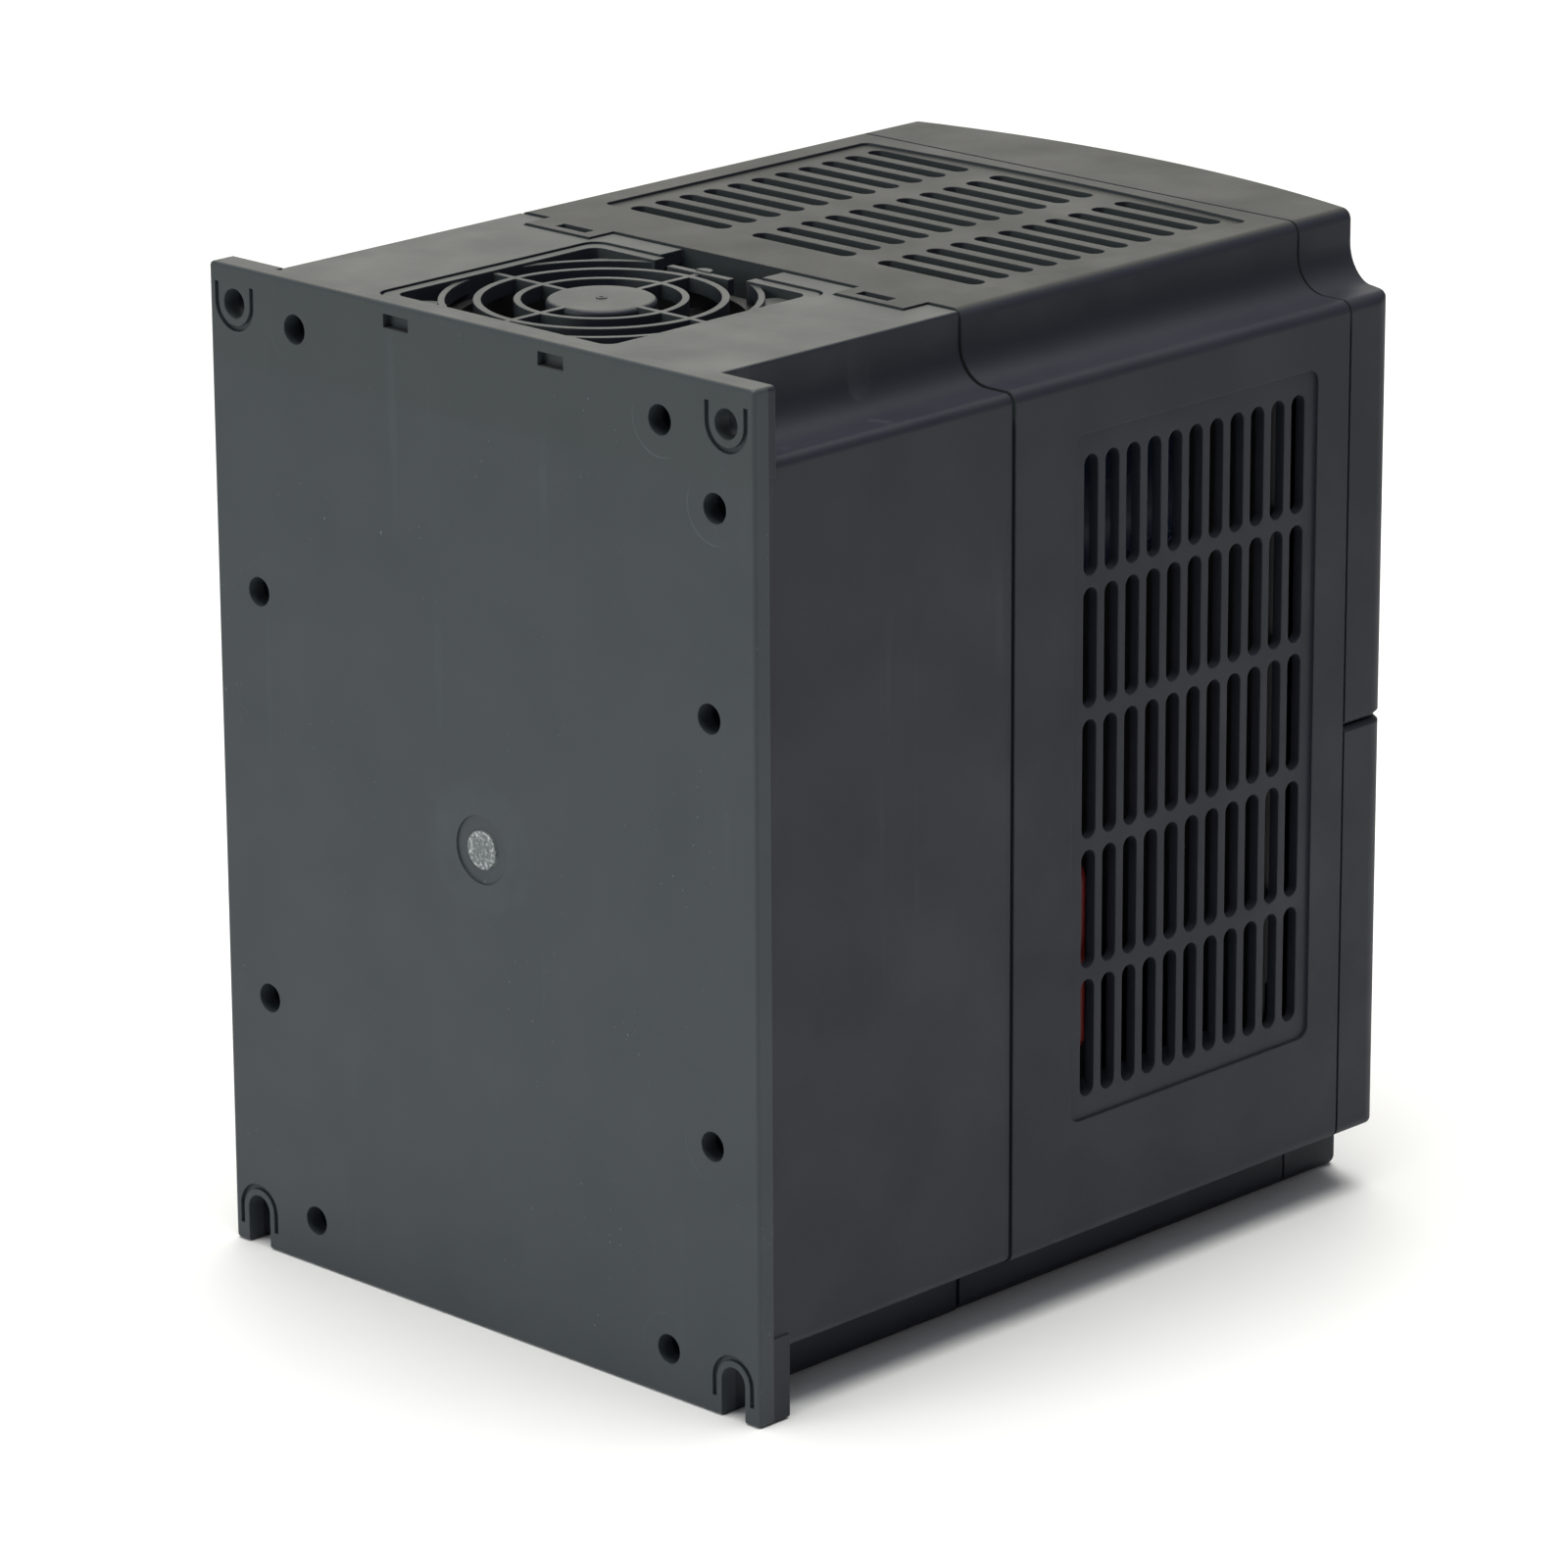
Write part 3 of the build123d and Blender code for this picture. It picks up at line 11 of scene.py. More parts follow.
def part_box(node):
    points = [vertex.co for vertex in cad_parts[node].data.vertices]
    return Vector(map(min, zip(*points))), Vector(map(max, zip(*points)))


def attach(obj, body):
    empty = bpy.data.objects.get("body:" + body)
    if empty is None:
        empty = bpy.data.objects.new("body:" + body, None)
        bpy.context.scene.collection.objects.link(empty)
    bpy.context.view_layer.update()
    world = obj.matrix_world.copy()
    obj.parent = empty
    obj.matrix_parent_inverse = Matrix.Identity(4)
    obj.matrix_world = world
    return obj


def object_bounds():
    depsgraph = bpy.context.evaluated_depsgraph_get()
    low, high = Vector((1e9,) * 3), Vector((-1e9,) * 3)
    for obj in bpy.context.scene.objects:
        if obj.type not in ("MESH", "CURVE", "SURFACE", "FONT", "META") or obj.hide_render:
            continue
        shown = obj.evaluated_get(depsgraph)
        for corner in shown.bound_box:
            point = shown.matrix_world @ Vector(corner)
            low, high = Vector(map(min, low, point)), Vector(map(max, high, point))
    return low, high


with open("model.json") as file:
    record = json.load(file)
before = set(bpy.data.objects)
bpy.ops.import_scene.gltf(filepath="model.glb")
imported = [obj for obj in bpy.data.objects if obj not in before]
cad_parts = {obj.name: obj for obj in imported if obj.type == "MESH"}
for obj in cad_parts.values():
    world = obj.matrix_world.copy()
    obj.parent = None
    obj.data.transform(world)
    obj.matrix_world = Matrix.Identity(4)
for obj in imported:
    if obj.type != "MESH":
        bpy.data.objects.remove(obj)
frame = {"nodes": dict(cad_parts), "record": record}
cad_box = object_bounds()
NODES = frame["nodes"]
MM = 0.001


# ---------------------------------------------------------------- material tools

NOISE_ROUGHNESS = 0.55


class Graph:
    """A short way to write one procedural material's nodes."""

    def __init__(self, name):
        self.material = bpy.data.materials.new(name)
        self.material.use_nodes = True
        self.tree = self.material.node_tree
        self.shader = self.tree.nodes["Principled BSDF"]
        self.place = self.node("ShaderNodeTexCoord").outputs["Object"]

    def node(self, kind, **settings):
        """A new node of a kind, with its own settings."""
        made = self.tree.nodes.new(kind)
        for key, value in settings.items():
            setattr(made, key, value)
        return made

    def put(self, socket, value):
        """Link a socket to another node's output, or set it to a plain value."""
        if isinstance(value, bpy.types.NodeSocket):
            self.tree.links.new(value, socket)
        else:
            socket.default_value = value

    def math(self, operation, *values):
        made = self.node("ShaderNodeMath", operation=operation)
        for socket, value in zip(made.inputs, values):
            self.put(socket, value)
        return made.outputs[0]

    def noise(self, scale, detail=4.0, stretch=None):
        """Noise from 0 to 1, with scale features to the metre."""
        made = self.node("ShaderNodeTexNoise")
        made.inputs["Scale"].default_value = scale
        made.inputs["Detail"].default_value = detail
        made.inputs["Roughness"].default_value = NOISE_ROUGHNESS
        place = self.place
        if stretch:
            mapping = self.node("ShaderNodeMapping")
            mapping.inputs["Scale"].default_value = stretch
            self.put(mapping.inputs["Vector"], self.place)
            place = mapping.outputs[0]
        self.put(made.inputs["Vector"], place)
        return made.outputs["Fac"]

    def cells(self, scale):
        """The distance from the middle of the nearest cell."""
        made = self.node("ShaderNodeTexVoronoi", feature="F1")
        made.inputs["Scale"].default_value = scale
        self.put(made.inputs["Vector"], self.place)
        return made.outputs["Distance"]

    def ramp(self, value, low, high, first=0.0, last=1.0):
        """The value rescaled, clamped, from low..high to first..last. low may be above high."""
        made = self.node("ShaderNodeMapRange")
        for key, number in (("From Min", low), ("From Max", high), ("To Min", first), ("To Max", last)):
            made.inputs[key].default_value = number
        self.put(made.inputs["Value"], value)
        return made.outputs[0]

    def mix(self, factor, a, b):
        """Colour a where the factor is 0 and b where it is 1."""
        made = self.node("ShaderNodeMix", data_type="RGBA")
        self.put(made.inputs[0], factor)
        for socket, value in ((made.inputs[6], a), (made.inputs[7], b)):
            self.put(socket, value if isinstance(value, bpy.types.NodeSocket) else (*value[:3], 1.0))
        return made.outputs[2]

    def bump(self, height, strength, distance, under=None):
        """The surface normal over a height, on top of the normal under it."""
        made = self.node("ShaderNodeBump")
        made.inputs["Strength"].default_value = strength
        made.inputs["Distance"].default_value = distance
        self.put(made.inputs["Height"], height)
        if under is not None:
            self.put(made.inputs["Normal"], under)
        return made.outputs[0]

    def soft_edges(self, radius):
        """The surface normal, rounded beside edges."""
        made = self.node("ShaderNodeBevel", samples=3)
        made.inputs["Radius"].default_value = radius
        return made.outputs[0]

    def normal(self):
        return self.node("ShaderNodeNewGeometry").outputs["Normal"]

    def lean(self, direction):
        """How far a face leans in a direction: 1 facing it, 0 square to it."""
        product = self.node("ShaderNodeVectorMath", operation="DOT_PRODUCT")
        self.put(product.inputs[0], self.normal())
        self.put(product.inputs[1], direction)
        return product.outputs["Value"]

    def edge_mask(self, rounded):
        """1 beside an edge and 0 on the flat, from how far the rounded normal leans."""
        return self.ramp(self.lean(rounded), 0.995, 0.86)

    def along(self, axis):
        """One coordinate of the object's own frame, in metres."""
        made = self.node("ShaderNodeSeparateXYZ")
        self.put(made.inputs[0], self.place)
        return made.outputs[axis]

    def above(self, level):
        """1 above a level and 0 below, blending over LEVEL_BLEND."""
        return self.ramp(self.along("Z"), level, level + LEVEL_BLEND)

    def times(self, *values):
        """The product of several values."""
        product = values[0]
        for value in values[1:]:
            product = self.math("MULTIPLY", product, value)
        return product

    def offsets_from(self, x, z):
        """How far a point is across and up from a line through (x, z) along the depth."""
        return self.math("SUBTRACT", self.along("X"), x), self.math("SUBTRACT", self.along("Z"), z)

    def distance_from(self, x, z):
        """How far a point is from a line through (x, z) along the depth."""
        across, rise = self.offsets_from(x, z)
        return self.math("SQRT", self.math("ADD", self.times(across, across), self.times(rise, rise)))

    def arc(self, x, z, radius, width, towards):
        """A thin ring round (x, z), only on the side that it is turned towards."""
        reach = self.math("ABSOLUTE", self.math("SUBTRACT", self.distance_from(x, z), radius))
        ring = self.ramp(reach, width, 0.0)
        across, rise = self.offsets_from(x, z)
        side = self.math("ADD", self.times(across, towards[0]), self.times(rise, towards[1]))
        return self.times(ring, self.ramp(side, radius * 0.35, radius * 0.8))

    def set(self, **values):
        """Fill the shader's sockets, with _ for a space, and give back the material."""
        for key, value in values.items():
            self.put(self.shader.inputs[key.replace("_", " ")], value)
        return self.material


def shade(color, factor):
    """A colour made lighter or darker."""
    return tuple(min(1.0, channel * factor) for channel in color)


# The casing's colours: smooth plate, grained shell, top faces painted lighter as a painted sheen, and top
# slot walls painted paler as painted light
PLATE = (0.0405, 0.0490, 0.0555)
SHELL = (0.0150, 0.0165, 0.0255)
SHELL_TOP_SHEEN = (0.0345, 0.0352, 0.0330)
DECK_TOP_SHEEN = (0.0560, 0.0595, 0.0570)
LIT_SLOT_WALL = (0.0370, 0.0450, 0.0480)
TORN_DARK, TORN_PALE = (0.17, 0.19, 0.195), (0.66, 0.69, 0.70)
PRINT_WHITE = (0.62, 0.63, 0.62)
PLASTIC_SPECULAR = 0.28
TARNISH = 0.25                      # how much darker metal is where it is tarnished

UPWARDS, DEPTHWARDS, FORWARDS = (0.0, 0.0, 1.0), (0.0, 1.0, 0.0), (0.0, -1.0, 0.0)
PLATE_SKIN = -3.1 * MM              # the plate's back face lies behind this, its holes' floors in front
SLOT_WALL_LEVEL = 68.0 * MM         # the top slots lie above this
TOP_LEVEL = 76.0 * MM               # the top faces lie above this, and the shoulders below
LEVEL_BLEND = 2.0 * MM
BOW_R = 200.0 * MM                  # the bowed front's radius
BUTTON_CROWN = 164.7 * MM           # a button cap's foremost line, before it is pressed
KNOB_X = 21.0 * MM
KNOB_GROOVE = -169.6 * MM           # the floor of the pointer's groove
POINTER_HALF = 0.5 * MM
POINTER_START = 39.3 * MM
GATE = (0.0, -2.2 * MM)
GATE_R = 3.3 * MM
HALO_R = 11.5 * MM
WITNESS_R = 6.0 * MM
# Each arc: x and z of its hole's centre in mm, the side it is turned towards, and how plain it shows
WITNESS_ARCS = (
    (-42.0, 77.3, (0.64, -0.77), 0.9), (-53.9, 65.3, (0.77, -0.64), 1.0),
    (-52.3, -40.0, (0.9, -0.44), 0.35), (-42.0, -77.3, (0.6, 0.8), 0.35), (42.0, 77.3, (0.7, -0.7), 0.3),
)


def plate_marks(g, tone, roughness, height, back):
    """Marks on the back plate: torn gate, stress halo, witness arcs, dust and scuffs."""
    gate = g.distance_from(*GATE)
    ragged = g.math("ADD", gate, g.ramp(g.noise(700.0), 0.0, 1.0, -0.5 * MM, 0.5 * MM))
    torn = g.times(g.ramp(ragged, GATE_R + 0.15 * MM, GATE_R - 0.15 * MM), back)
    rim = g.ramp(gate, GATE_R * 0.45, GATE_R * 0.85, 0.5, 1.0)
    chips = g.ramp(g.noise(1500.0, detail=6.0), 0.42, 0.62)
    whitish = g.mix(g.times(chips, rim), TORN_DARK, TORN_PALE)
    ring = g.ramp(gate, HALO_R + 1.0 * MM, HALO_R - 1.0 * MM)
    halo = g.times(ring, g.ramp(g.noise(180.0), 0.3, 0.7), back, 0.38)
    tone = g.mix(halo, tone, shade(PLATE, 1.5))
    pale = None
    for x, z, towards, strength in WITNESS_ARCS:
        mark = g.arc(x * MM, z * MM, WITNESS_R, 0.16 * MM, towards)
        mark = g.times(mark, g.ramp(g.noise(260.0), 0.35, 0.6, 0.25 * strength, strength))
        pale = mark if pale is None else g.math("MAXIMUM", pale, mark)
    tone = g.mix(g.times(pale, back, 0.55), tone, shade(PLATE, 3.2))
    grains = g.ramp(g.noise(1100.0, detail=1.0), 0.70, 0.76)
    dust = g.times(grains, g.ramp(g.noise(55.0), 0.5, 0.7), back, 0.5)
    strokes = g.ramp(g.noise(170.0, detail=2.0, stretch=(1.0, 1.0, 0.05)), 0.64, 0.72)
    scuffs = g.times(strokes, g.ramp(g.noise(35.0), 0.45, 0.65), 0.16)
    tone = g.mix(dust, tone, shade(PLATE, 5.0))
    tone = g.mix(scuffs, tone, shade(PLATE, 2.0))
    tone = g.mix(torn, tone, whitish)
    roughness = g.math("ADD", roughness, g.times(torn, 0.25))
    height = g.math("ADD", height, g.times(torn, chips, 6.0))
    return tone, roughness, height


def button_print(g):
    """1 on a button's raised sign, which stands 0.25 mm above the bowed face of its cap."""
    across = g.along("X")
    face = g.math("SQRT", g.math("SUBTRACT", BOW_R ** 2, g.times(across, across)))
    proud = g.math("SUBTRACT", g.times(g.along("Y"), -1.0), face)
    cap = BUTTON_CROWN - BOW_R
    return g.ramp(proud, cap + 0.09 * MM, cap + 0.13 * MM)


def knob_pointer(g):
    """1 in the pointer groove on the knob's face."""
    beside = g.math("ABSOLUTE", g.math("SUBTRACT", g.along("X"), KNOB_X))
    line = g.ramp(beside, POINTER_HALF, POINTER_HALF - 0.1 * MM)
    floor = g.ramp(g.along("Y"), KNOB_GROOVE + 0.1 * MM, KNOB_GROOVE + 0.02 * MM)
    below_face = g.ramp(g.along("Y"), KNOB_GROOVE - 0.3 * MM, KNOB_GROOVE - 0.1 * MM)
    outer = g.ramp(g.along("Z"), POINTER_START, POINTER_START + 0.3 * MM)
    return g.times(line, outer, floor, below_face)


def plastic(name, color, rough=0.5, grain=0.25, grain_size=0.45, edge=0.5, smudge=0.12,
            plate=None, printed=None, top_sheen=None):
    """Moulded plastic: fine grain, faint flow and handling marks, edges a little paler, partly from wear and
    partly as a painted highlight.

    plate is the smooth back face's colour, printed a mask of white signs, and the last argument the lighter
    colour painted on the top faces as a painted sheen.
    """
    g = Graph(name)
    drift = g.ramp(g.noise(14.0, detail=5.0), 0.35, 0.68)
    specks = g.ramp(g.noise(420.0, detail=2.0), 0.66, 0.76, 0.0, 0.16)
    tone = g.mix(drift, shade(color, 1.0 - smudge), shade(color, 1.0 + smudge))
    strength = grain
    top_face = g.times(g.ramp(g.lean(UPWARDS), 0.75, 0.95), g.above(TOP_LEVEL))
    if plate:
        back = g.ramp(g.along("Y"), PLATE_SKIN - 0.2 * MM, PLATE_SKIN)
        smooth = g.math("MAXIMUM", back, g.times(top_face, 0.85))
        flow = g.ramp(g.noise(9.0, detail=6.0, stretch=(1.0, 1.0, 0.35)), 0.35, 0.7)
        tone = g.mix(smooth, tone, g.mix(flow, shade(plate, 0.93), shade(plate, 1.07)))
        strength = g.ramp(smooth, 0.0, 1.0, grain, grain * 0.25)
    # painted sheen: the top faces take a lighter colour that stands in for the overhead light and sheen they
    # catch
    if top_sheen:
        top_sheen_tone = g.mix(drift, shade(top_sheen, 0.95), shade(top_sheen, 1.05))
        tone = g.mix(top_face, tone, top_sheen_tone)
        # painted light: the upper slot walls that face the depth are painted paler, where light falls on
        # them from above and behind
        lit_slot_walls = g.times(g.ramp(g.lean(DEPTHWARDS), 0.8, 0.95), g.above(SLOT_WALL_LEVEL))
        tone = g.mix(lit_slot_walls, tone, LIT_SLOT_WALL)
    tone = g.mix(specks, tone, shade(color, 1.9))
    under = None
    if edge:
        under = g.soft_edges(0.3 * MM)
        # wear and painted highlight: edges are painted paler, partly for wear and partly for the light their
        # rounding catches
        wear_and_highlight = g.times(g.edge_mask(under), g.ramp(g.noise(160.0), 0.3, 0.7, 0.15, edge))
        tone = g.mix(wear_and_highlight, tone, shade(plate or color, 2.0))
    fine = g.cells(1.0 / (grain_size * MM))
    cloud = g.noise(1.6 / (grain_size * MM), detail=3.0)
    height = g.times(g.math("ADD", g.times(fine, 0.6), g.times(cloud, 0.5)), strength)
    gloss = g.ramp(g.noise(60.0, detail=6.0), 0.3, 0.7, rough - 0.06, rough + 0.07)
    if plate:
        tone, gloss, height = plate_marks(g, tone, gloss, height, back)
    if printed:
        worn = g.times(printed(g), g.ramp(g.noise(900.0), 0.25, 0.4, 0.75, 1.0))
        tone = g.mix(worn, tone, PRINT_WHITE)
    normal = g.bump(height, 1.0, 0.06 * MM, under)
    return g.set(Base_Color=tone, Roughness=gloss, Normal=normal, Specular_IOR_Level=PLASTIC_SPECULAR)


def metal(name, color, rough=0.3, stretch=(1, 1, 1), scale=900.0):
    """Worked metal: fine directional marks and slightly uneven tarnish."""
    g = Graph(name)
    marks = g.noise(scale, detail=3.0, stretch=stretch)
    film = g.noise(70.0, detail=5.0)
    tone = g.mix(g.ramp(film, 0.3, 0.75), color, shade(color, 1.0 - TARNISH))
    gloss = g.ramp(marks, 0.25, 0.75, rough - 0.08, rough + 0.12)
    normal = g.bump(marks, 0.25, 0.03 * MM, g.soft_edges(0.15 * MM))
    return g.set(Base_Color=tone, Roughness=gloss, Normal=normal, Metallic=1.0)


SOLDER_MASK, MASKED_COPPER, TINNED_PAD = (0.006, 0.062, 0.024), (0.016, 0.125, 0.046), (0.62, 0.6, 0.55)


def board(name):
    """Green solder mask over copper tracks, with pads showing through here and there."""
    g = Graph(name)
    brick = g.node("ShaderNodeTexBrick")
    turned = g.node("ShaderNodeMapping")
    turned.inputs["Rotation"].default_value = (math.pi / 2, 0, 0)
    g.put(turned.inputs["Vector"], g.place)
    g.put(brick.inputs["Vector"], turned.outputs[0])
    for key, number in (("Scale", 260.0), ("Mortar Size", 0.09), ("Bias", -0.2), ("Brick Width", 1.9)):
        brick.inputs[key].default_value = number
    tracks = brick.outputs["Fac"]
    patches = g.ramp(g.noise(65.0, detail=1.0), 0.47, 0.5)
    lines = g.times(tracks, patches)
    tone = g.mix(lines, SOLDER_MASK, MASKED_COPPER)
    dots = g.times(g.ramp(g.cells(330.0), 0.13, 0.1), g.ramp(g.noise(40.0), 0.52, 0.56))
    tone = g.mix(dots, tone, TINNED_PAD)
    normal = g.bump(lines, 0.35, 0.04 * MM)
    gloss = g.ramp(g.noise(30.0), 0.3, 0.7, 0.24, 0.36)
    return g.set(Base_Color=tone, Roughness=gloss, Normal=normal, Metallic=g.times(dots, 0.9))


SLEEVE, SLEEVE_STRIPE, BARE_CAN = (0.012, 0.016, 0.035), (0.42, 0.44, 0.46), (0.6, 0.61, 0.62)
STRIPE_SIDE = (0.8, 0.0, -0.6)


def can_sleeve(name):
    """A dark shrunk sleeve with a pale stripe down one side of each can, and a bare metal end."""
    g = Graph(name)
    bare = g.ramp(g.lean(FORWARDS), 0.8, 0.95)
    tone = g.mix(g.ramp(g.lean(STRIPE_SIDE), 0.93, 0.95), SLEEVE, SLEEVE_STRIPE)
    tone = g.mix(bare, tone, BARE_CAN)
    normal = g.bump(g.noise(300.0, stretch=(1, 0.15, 1)), 0.12, 0.05 * MM)
    gloss = g.ramp(g.noise(50.0), 0.3, 0.7, 0.2, 0.34)
    return g.set(Base_Color=tone, Roughness=gloss, Normal=normal, Metallic=g.times(bare, 0.95))


def windings(name, color, axis, spacing):
    """Turns of lacquered wire, or a ribbon's wires, side by side along an axis, spacing in mm, with painted
    shade between them.
    """
    g = Graph(name)
    wave = g.node("ShaderNodeTexWave", wave_type="BANDS", bands_direction=axis)
    wave.inputs["Scale"].default_value = 1.0 / (spacing * MM) / 6.283
    wave.inputs["Distortion"].default_value = 0.4
    g.put(wave.inputs["Vector"], g.place)
    # painted shade: the colour darkens between the turns, where the round wires fall into shade
    tone = g.mix(wave.outputs["Fac"], shade(color, 0.35), color)
    normal = g.bump(wave.outputs["Fac"], 0.8, 0.25 * MM)
    gloss = g.ramp(g.noise(90.0), 0.3, 0.7, 0.22, 0.4)
    return g.set(Base_Color=tone, Roughness=gloss, Normal=normal)


def clear_window(name):
    """A clear, slightly smoked window with faint upright hairlines."""
    g = Graph(name)
    hairline = g.noise(500.0, detail=2.0, stretch=(1, 1, 0.05))
    gloss = g.ramp(hairline, 0.4, 0.8, 0.04, 0.14)
    tone = g.mix(g.ramp(g.noise(12.0), 0.3, 0.7), (0.30, 0.29, 0.30), (0.34, 0.33, 0.34))
    g.set(Base_Color=tone, Roughness=gloss)
    g.shader.inputs["Transmission Weight"].default_value = 0.92
    g.shader.inputs["IOR"].default_value = 1.49
    return g.material


# ---------------------------------------------------------------- the object's materials

MATERIALS = {
    "rear_plastic": plastic(
        "rear_plastic", SHELL, rough=0.5, grain=0.3, grain_size=0.4, edge=0.4, smudge=0.06, plate=PLATE,
        top_sheen=DECK_TOP_SHEEN
    ),
    "shell_plastic": plastic(
        "shell_plastic", SHELL, rough=0.56, grain=0.32, grain_size=0.38, edge=0.6, smudge=0.06,
        top_sheen=SHELL_TOP_SHEEN
    ),
    "keypad_plastic": plastic("keypad_plastic", (0.020, 0.021, 0.024), rough=0.55, grain=0.35),
    "fan_plastic": plastic("fan_plastic", (0.012, 0.012, 0.013), rough=0.42, grain=0.08),
    "component_plastic": plastic("component_plastic", (0.018, 0.018, 0.020), rough=0.5, edge=0),
    "terminal_plastic": plastic("terminal_plastic", (0.022, 0.025, 0.024), rough=0.48),
    "connector_plastic": plastic("connector_plastic", (0.66, 0.65, 0.58), rough=0.42, grain=0.06, edge=0),
    "green_terminal": plastic("green_terminal", (0.020, 0.150, 0.060), rough=0.4, grain=0.08),
    "board_laminate": board("board_laminate"),
    "grommet_rubber": plastic("grommet_rubber", (0.012, 0.012, 0.012), rough=0.72, grain=0.2, edge=0),
    "zinc_steel": metal("zinc_steel", (0.60, 0.60, 0.57), rough=0.28),
    "black_screw_steel": metal("black_screw_steel", (0.11, 0.11, 0.115), rough=0.35),
    "sink_aluminium": metal("sink_aluminium", (0.68, 0.69, 0.70), rough=0.34, stretch=(1, 1, 0.03)),
    "can_sleeve": can_sleeve("can_sleeve"),
    "copper": metal("copper", (0.72, 0.36, 0.20), rough=0.26),
    "iron_core": metal("iron_core", (0.10, 0.10, 0.11), rough=0.5, stretch=(0.1, 1, 0.1), scale=1400.0),
    "winding_tape": plastic("winding_tape", (0.50, 0.33, 0.05), rough=0.34, grain=0.1, edge=0),
    "choke_body": windings("choke_body", (0.55, 0.20, 0.07), "Y", 0.9),
    "film_case": plastic("film_case", (0.52, 0.38, 0.03), rough=0.22, grain=0.05, edge=0),
    "relay_case": plastic("relay_case", (0.020, 0.021, 0.026), rough=0.25, grain=0.05, edge=0),
    "sensor_case": plastic("sensor_case", (0.015, 0.030, 0.085), rough=0.42, edge=0),
    "red_insulation": plastic("red_insulation", (0.13, 0.005, 0.005), rough=0.32, grain=0.05, edge=0),
    "wire_insulation": plastic("wire_insulation", (0.014, 0.014, 0.014), rough=0.32, grain=0.05, edge=0),
    "ribbon_pvc": windings("ribbon_pvc", (0.36, 0.36, 0.37), "X", 1.27),
    "window_clear": clear_window("window_clear"),
    "display_face": plastic("display_face", (0.030, 0.004, 0.004), rough=0.3, grain=0.03, edge=0),
    "led_lens": plastic("led_lens", (0.50, 0.05, 0.02), rough=0.2, grain=0.03, edge=0),
    "button_grey": plastic(
        "button_grey", (0.17, 0.175, 0.185), rough=0.5, grain=0.25, edge=0.25, printed=button_print
    ),
    "button_green": plastic(
        "button_green", (0.020, 0.170, 0.050), rough=0.5, grain=0.25, edge=0.25, printed=button_print
    ),
    "button_red": plastic(
        "button_red", (0.330, 0.018, 0.014), rough=0.5, grain=0.25, edge=0.25, printed=button_print
    ),
    "knob_plastic": plastic(
        "knob_plastic", (0.030, 0.031, 0.034), rough=0.42, grain=0.2, printed=knob_pointer
    ),
}

for entry in frame["record"]["subparts"]:
    data = NODES[entry["node"]].data
    data.materials.clear()
    data.materials.append(MATERIALS[entry["material_slot"]])


# ---------------------------------------------------------------- small pieces on the boards and display

CHIP_SIZES = ((2.0, 1.2, 0.6), (3.2, 1.6, 0.7), (1.6, 0.8, 0.5))     # length, width and rise, in mm
CHIP_GRID = 0.5 * MM
CHIP_GAP = 0.5 * MM
CHIP_CAP = 0.22                     # each metal end's share of the length
CHIP_WAIST = 0.94                   # the body's width beside its ends'
CHIP_SINK = 0.04 * MM               # the body lies this much below its ends
EDGE_BEVEL = 0.05 * MM
SHARP_ANGLE = 0.7
PLACE_ABOVE = 0.4 * MM              # places are tested this far in front of the board
PLACE_TRIES = 2000
DIGITS, DIGIT_PITCH = 5, 8.2 * MM
DIGIT_WIDTH, DIGIT_HEIGHT = 3.2 * MM, 5.5 * MM
DIGIT_BAR = 0.42 * MM
DIGIT_PROUD = 0.08 * MM


def add_box(bm, low, high):
    """One small box with rounded edges, added to a mesh under construction."""
    made = bmesh.ops.create_cube(bm, size=1.0)
    size = [b - a for a, b in zip(low, high)]
    centre = [(a + b) / 2 for a, b in zip(low, high)]
    bmesh.ops.scale(bm, vec=size, verts=made["verts"])
    bmesh.ops.translate(bm, vec=centre, verts=made["verts"])
    edges = list({edge for vert in made["verts"] for edge in vert.link_edges})
    bmesh.ops.bevel(bm, geom=edges, offset=EDGE_BEVEL, segments=2, affect="EDGES", profile=0.5)


def add_piece(name, bm, material, body):
    """The finished mesh as one piece, in a material's own slot, riding on a body."""
    mesh = bpy.data.meshes.new(name)
    bm.to_mesh(mesh)
    bm.free()
    for face in mesh.polygons:
        face.use_smooth = True
    mesh.set_sharp_from_angle(angle=SHARP_ANGLE)
    piece = bpy.data.objects.new(name, mesh)
    bpy.context.scene.collection.objects.link(piece)
    mesh.materials.append(MATERIALS[material])
    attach(piece, body)


def surface_tree(node):
    """A search tree of a node's faces."""
    data = NODES[node].data
    corners = [vert.co for vert in data.vertices]
    return BVHTree.FromPolygons(corners, [face.vertices[:] for face in data.polygons])


def standing_on(board_node, front):
    """Trees of the pieces whose boxes cross a plane just in front of a board."""
    low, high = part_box(board_node)
    found = []
    for node in sorted(NODES):
        near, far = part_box(node)
        crosses = near[1] < front - PLACE_ABOVE < far[1]
        beside = near[0] > high[0] or far[0] < low[0] or near[2] > high[2] or far[2] < low[2]
        if node != board_node and crosses and not beside:
            found.append(surface_tree(node))
    return found


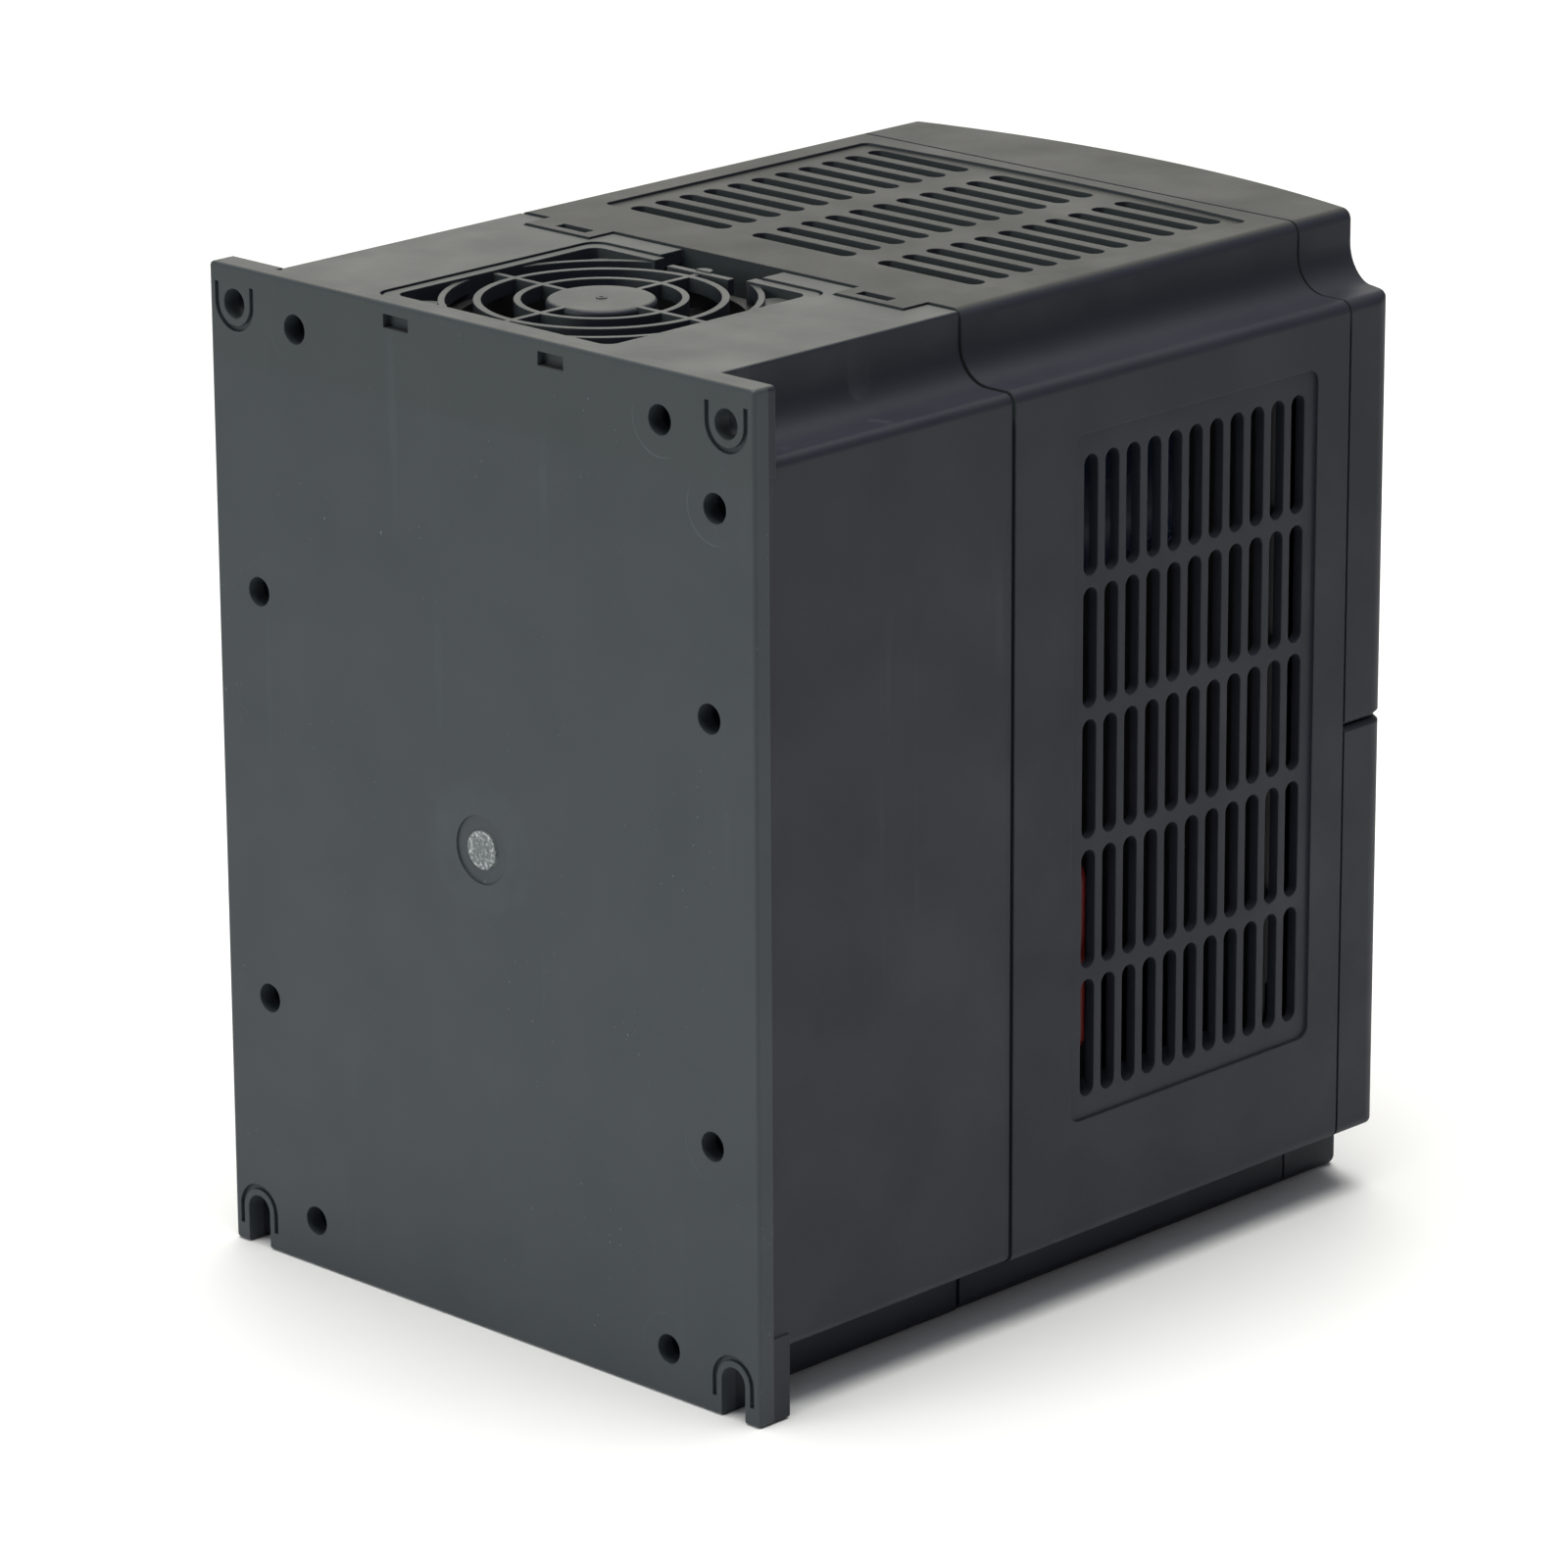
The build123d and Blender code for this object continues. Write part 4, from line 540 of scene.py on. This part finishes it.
def free_places(board_node, count, seed):
    """Centre, size and turn of parts that lie wholly on a board, clear of each other and of all else."""
    draw = random.Random(seed)
    low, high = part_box(board_node)
    board_tree, neighbours = surface_tree(board_node), standing_on(board_node, low[1])
    taken = []
    for _ in range(PLACE_TRIES):
        size = [measure * MM for measure in draw.choice(CHIP_SIZES)]
        lies_across = draw.random() < 0.5
        x = round(draw.uniform(low[0], high[0]) / CHIP_GRID) * CHIP_GRID
        z = round(draw.uniform(low[2], high[2]) / CHIP_GRID) * CHIP_GRID
        reach = size[0] / 2 + CHIP_GAP
        above = Vector((x, low[1] - PLACE_ABOVE, z))
        corners = [above + Vector((i * reach, 0.0, k * reach)) for i in (-1, 1) for k in (-1, 1)]
        below = [board_tree.ray_cast(corner, Vector(DEPTHWARDS), 2 * PLACE_ABOVE)[0] for corner in corners]
        off_board = any(hit is None for hit in below)
        crowded = any(tree.find_nearest(above, reach + CHIP_GAP)[0] is not None for tree in neighbours)
        if off_board or crowded or any(math.hypot(x - a, z - b) < reach + c for a, b, c in taken):
            continue
        taken.append((x, z, reach))
        yield Vector((x, low[1], z)), size, lies_across
        if len(taken) == count:
            return


def add_chip(bodies, ends, foot, size, lies_across):
    """One part that stands on a board at its foot: a dark body between two metal ends."""
    half_length, half_width, rise = size[0] / 2, size[1] / 2, size[2]
    inner = half_length * (1 - 2 * CHIP_CAP)
    for start, stop, side, target, sink in (
        (-half_length, -inner, half_width, ends, 0.0), (inner, half_length, half_width, ends, 0.0),
        (-inner, inner, half_width * CHIP_WAIST, bodies, CHIP_SINK),
    ):
        one, two = ((start, -side), (stop, side)) if lies_across else ((-side, start), (side, stop))
        low = (foot.x + one[0], foot.y - rise + sink, foot.z + one[1])
        high = (foot.x + two[0], foot.y, foot.z + two[1])
        add_box(target, low, high)


def populate(name, board_node, count, seed):
    """Small resistors and capacitors with metal ends, scattered on a board where it is free."""
    bodies, ends = bmesh.new(), bmesh.new()
    for foot, size, lies_across in free_places(board_node, count, seed):
        add_chip(bodies, ends, foot, size, lies_across)
    add_piece(name + "_bodies", bodies, "component_plastic", "drive")
    add_piece(name + "_ends", ends, "zinc_steel", "drive")


populate("control_smd", "control_board", 90, 41)
populate("power_smd", "power_board", 55, 42)


def digit_bars():
    """The seven bars of one digit about its centre: low and high corners across and up."""
    half_width, half_height, half_bar = DIGIT_WIDTH / 2, DIGIT_HEIGHT / 2, DIGIT_BAR / 2
    reach = half_width - DIGIT_BAR
    for level in (-half_height, 0.0, half_height):
        yield (-reach - half_bar, level - half_bar), (reach + half_bar, level + half_bar)
    for side in (-half_width, half_width):
        for bottom in (-half_height, 0.0):
            yield ((side - half_bar, bottom + DIGIT_BAR - half_bar),
                   (side + half_bar, bottom + half_height - DIGIT_BAR + half_bar))


# the display's bars, behind its window
module_low, module_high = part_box("display_module")
digit_z = (module_low[2] + module_high[2]) / 2
segments = bmesh.new()
for place in range(DIGITS):
    x = (place - (DIGITS - 1) / 2) * DIGIT_PITCH
    for low, high in digit_bars():
        add_box(
            segments, (x + low[0], module_low[1] - DIGIT_PROUD, digit_z + low[1]),
            (x + high[0], module_low[1] + DIGIT_PROUD, digit_z + high[1]),
        )
add_piece("display_segments", segments, "led_lens", "keypad")


# ---------------------------------------------------------------- stage, light, camera

FLOOR_HALF = 6.0
FLOOR_CORNERS = ((-1, -1), (1, -1), (1, 1), (-1, 1))
floor_mesh = bpy.data.meshes.new("floor")
floor_mesh.from_pydata(
    [(x * FLOOR_HALF, y * FLOOR_HALF, cad_box[0].z) for x, y in FLOOR_CORNERS], [], [(0, 1, 2, 3)]
)
floor = bpy.data.objects.new("floor", floor_mesh)
bpy.context.scene.collection.objects.link(floor)
paper = Graph("floor_paper")
paper.set(
    Base_Color=paper.mix(paper.noise(9.0), (0.945, 0.945, 0.945), (0.965, 0.965, 0.965)),
    Roughness=paper.ramp(paper.noise(40.0), 0.3, 0.7, 0.75, 0.85),
)
floor_mesh.materials.append(paper.material)


def softbox(name, place, size, power, color):
    """A round area light that faces the middle of the object: metres and watts."""
    data = bpy.data.lights.new(name, "AREA")
    data.shape, data.size, data.energy, data.color = "DISK", size, power, color
    lamp = bpy.data.objects.new(name, data)
    lamp.location = place
    lamp.rotation_euler = (LIT_POINT - Vector(place)).to_track_quat("-Z", "Y").to_euler()
    bpy.context.scene.collection.objects.link(lamp)


LIT_POINT = Vector((0.0, -0.08, 0.0))
softbox("top_softbox", (0.0, -0.1, 1.6), 1.6, 38.0, (1.0, 0.992, 0.95))
softbox("far_softbox", (1.35, -1.45, 0.75), 1.3, 6.4, (1.0, 0.975, 0.92))
softbox("back_softbox", (0.45, 1.5, 0.65), 1.1, 9.4, (0.94, 0.985, 1.0))
softbox("side_softbox", (-1.15, -0.3, 1.55), 1.2, 2.0, (0.80, 0.86, 1.0))

ROOM_LIGHT = 0.18
world = bpy.data.worlds.new("studio")
world.use_nodes = True
background = world.node_tree.nodes["Background"]
background.inputs["Color"].default_value = (1.0, 1.0, 1.0, 1.0)
background.inputs["Strength"].default_value = ROOM_LIGHT
bpy.context.scene.world = world
bpy.context.scene.view_settings.view_transform = "Standard"

CAMERA_PLACE = Vector((-0.8375, 0.7885, 0.3723))
CAMERA_LOOK = Vector((0.6657, -0.6826, -0.3016)).normalized()
CAMERA_ROLL = math.radians(0.296)
CAMERA_LENS, CAMERA_SENSOR = 171.5, 36.0
level_right = CAMERA_LOOK.cross(Vector((0, 0, 1))).normalized()
level_up = level_right.cross(CAMERA_LOOK)
right = level_right * math.cos(CAMERA_ROLL) - level_up * math.sin(CAMERA_ROLL)
up = right.cross(CAMERA_LOOK)
camera_data = bpy.data.cameras.new("camera")
camera_data.lens, camera_data.sensor_width = CAMERA_LENS, CAMERA_SENSOR
camera_data.clip_start, camera_data.clip_end = 0.05, 30.0
camera = bpy.data.objects.new("camera", camera_data)
camera.matrix_world = Matrix((
    (right.x, up.x, -CAMERA_LOOK.x, CAMERA_PLACE.x),
    (right.y, up.y, -CAMERA_LOOK.y, CAMERA_PLACE.y),
    (right.z, up.z, -CAMERA_LOOK.z, CAMERA_PLACE.z),
    (0, 0, 0, 1),
))
bpy.context.scene.collection.objects.link(camera)
bpy.context.scene.camera = camera
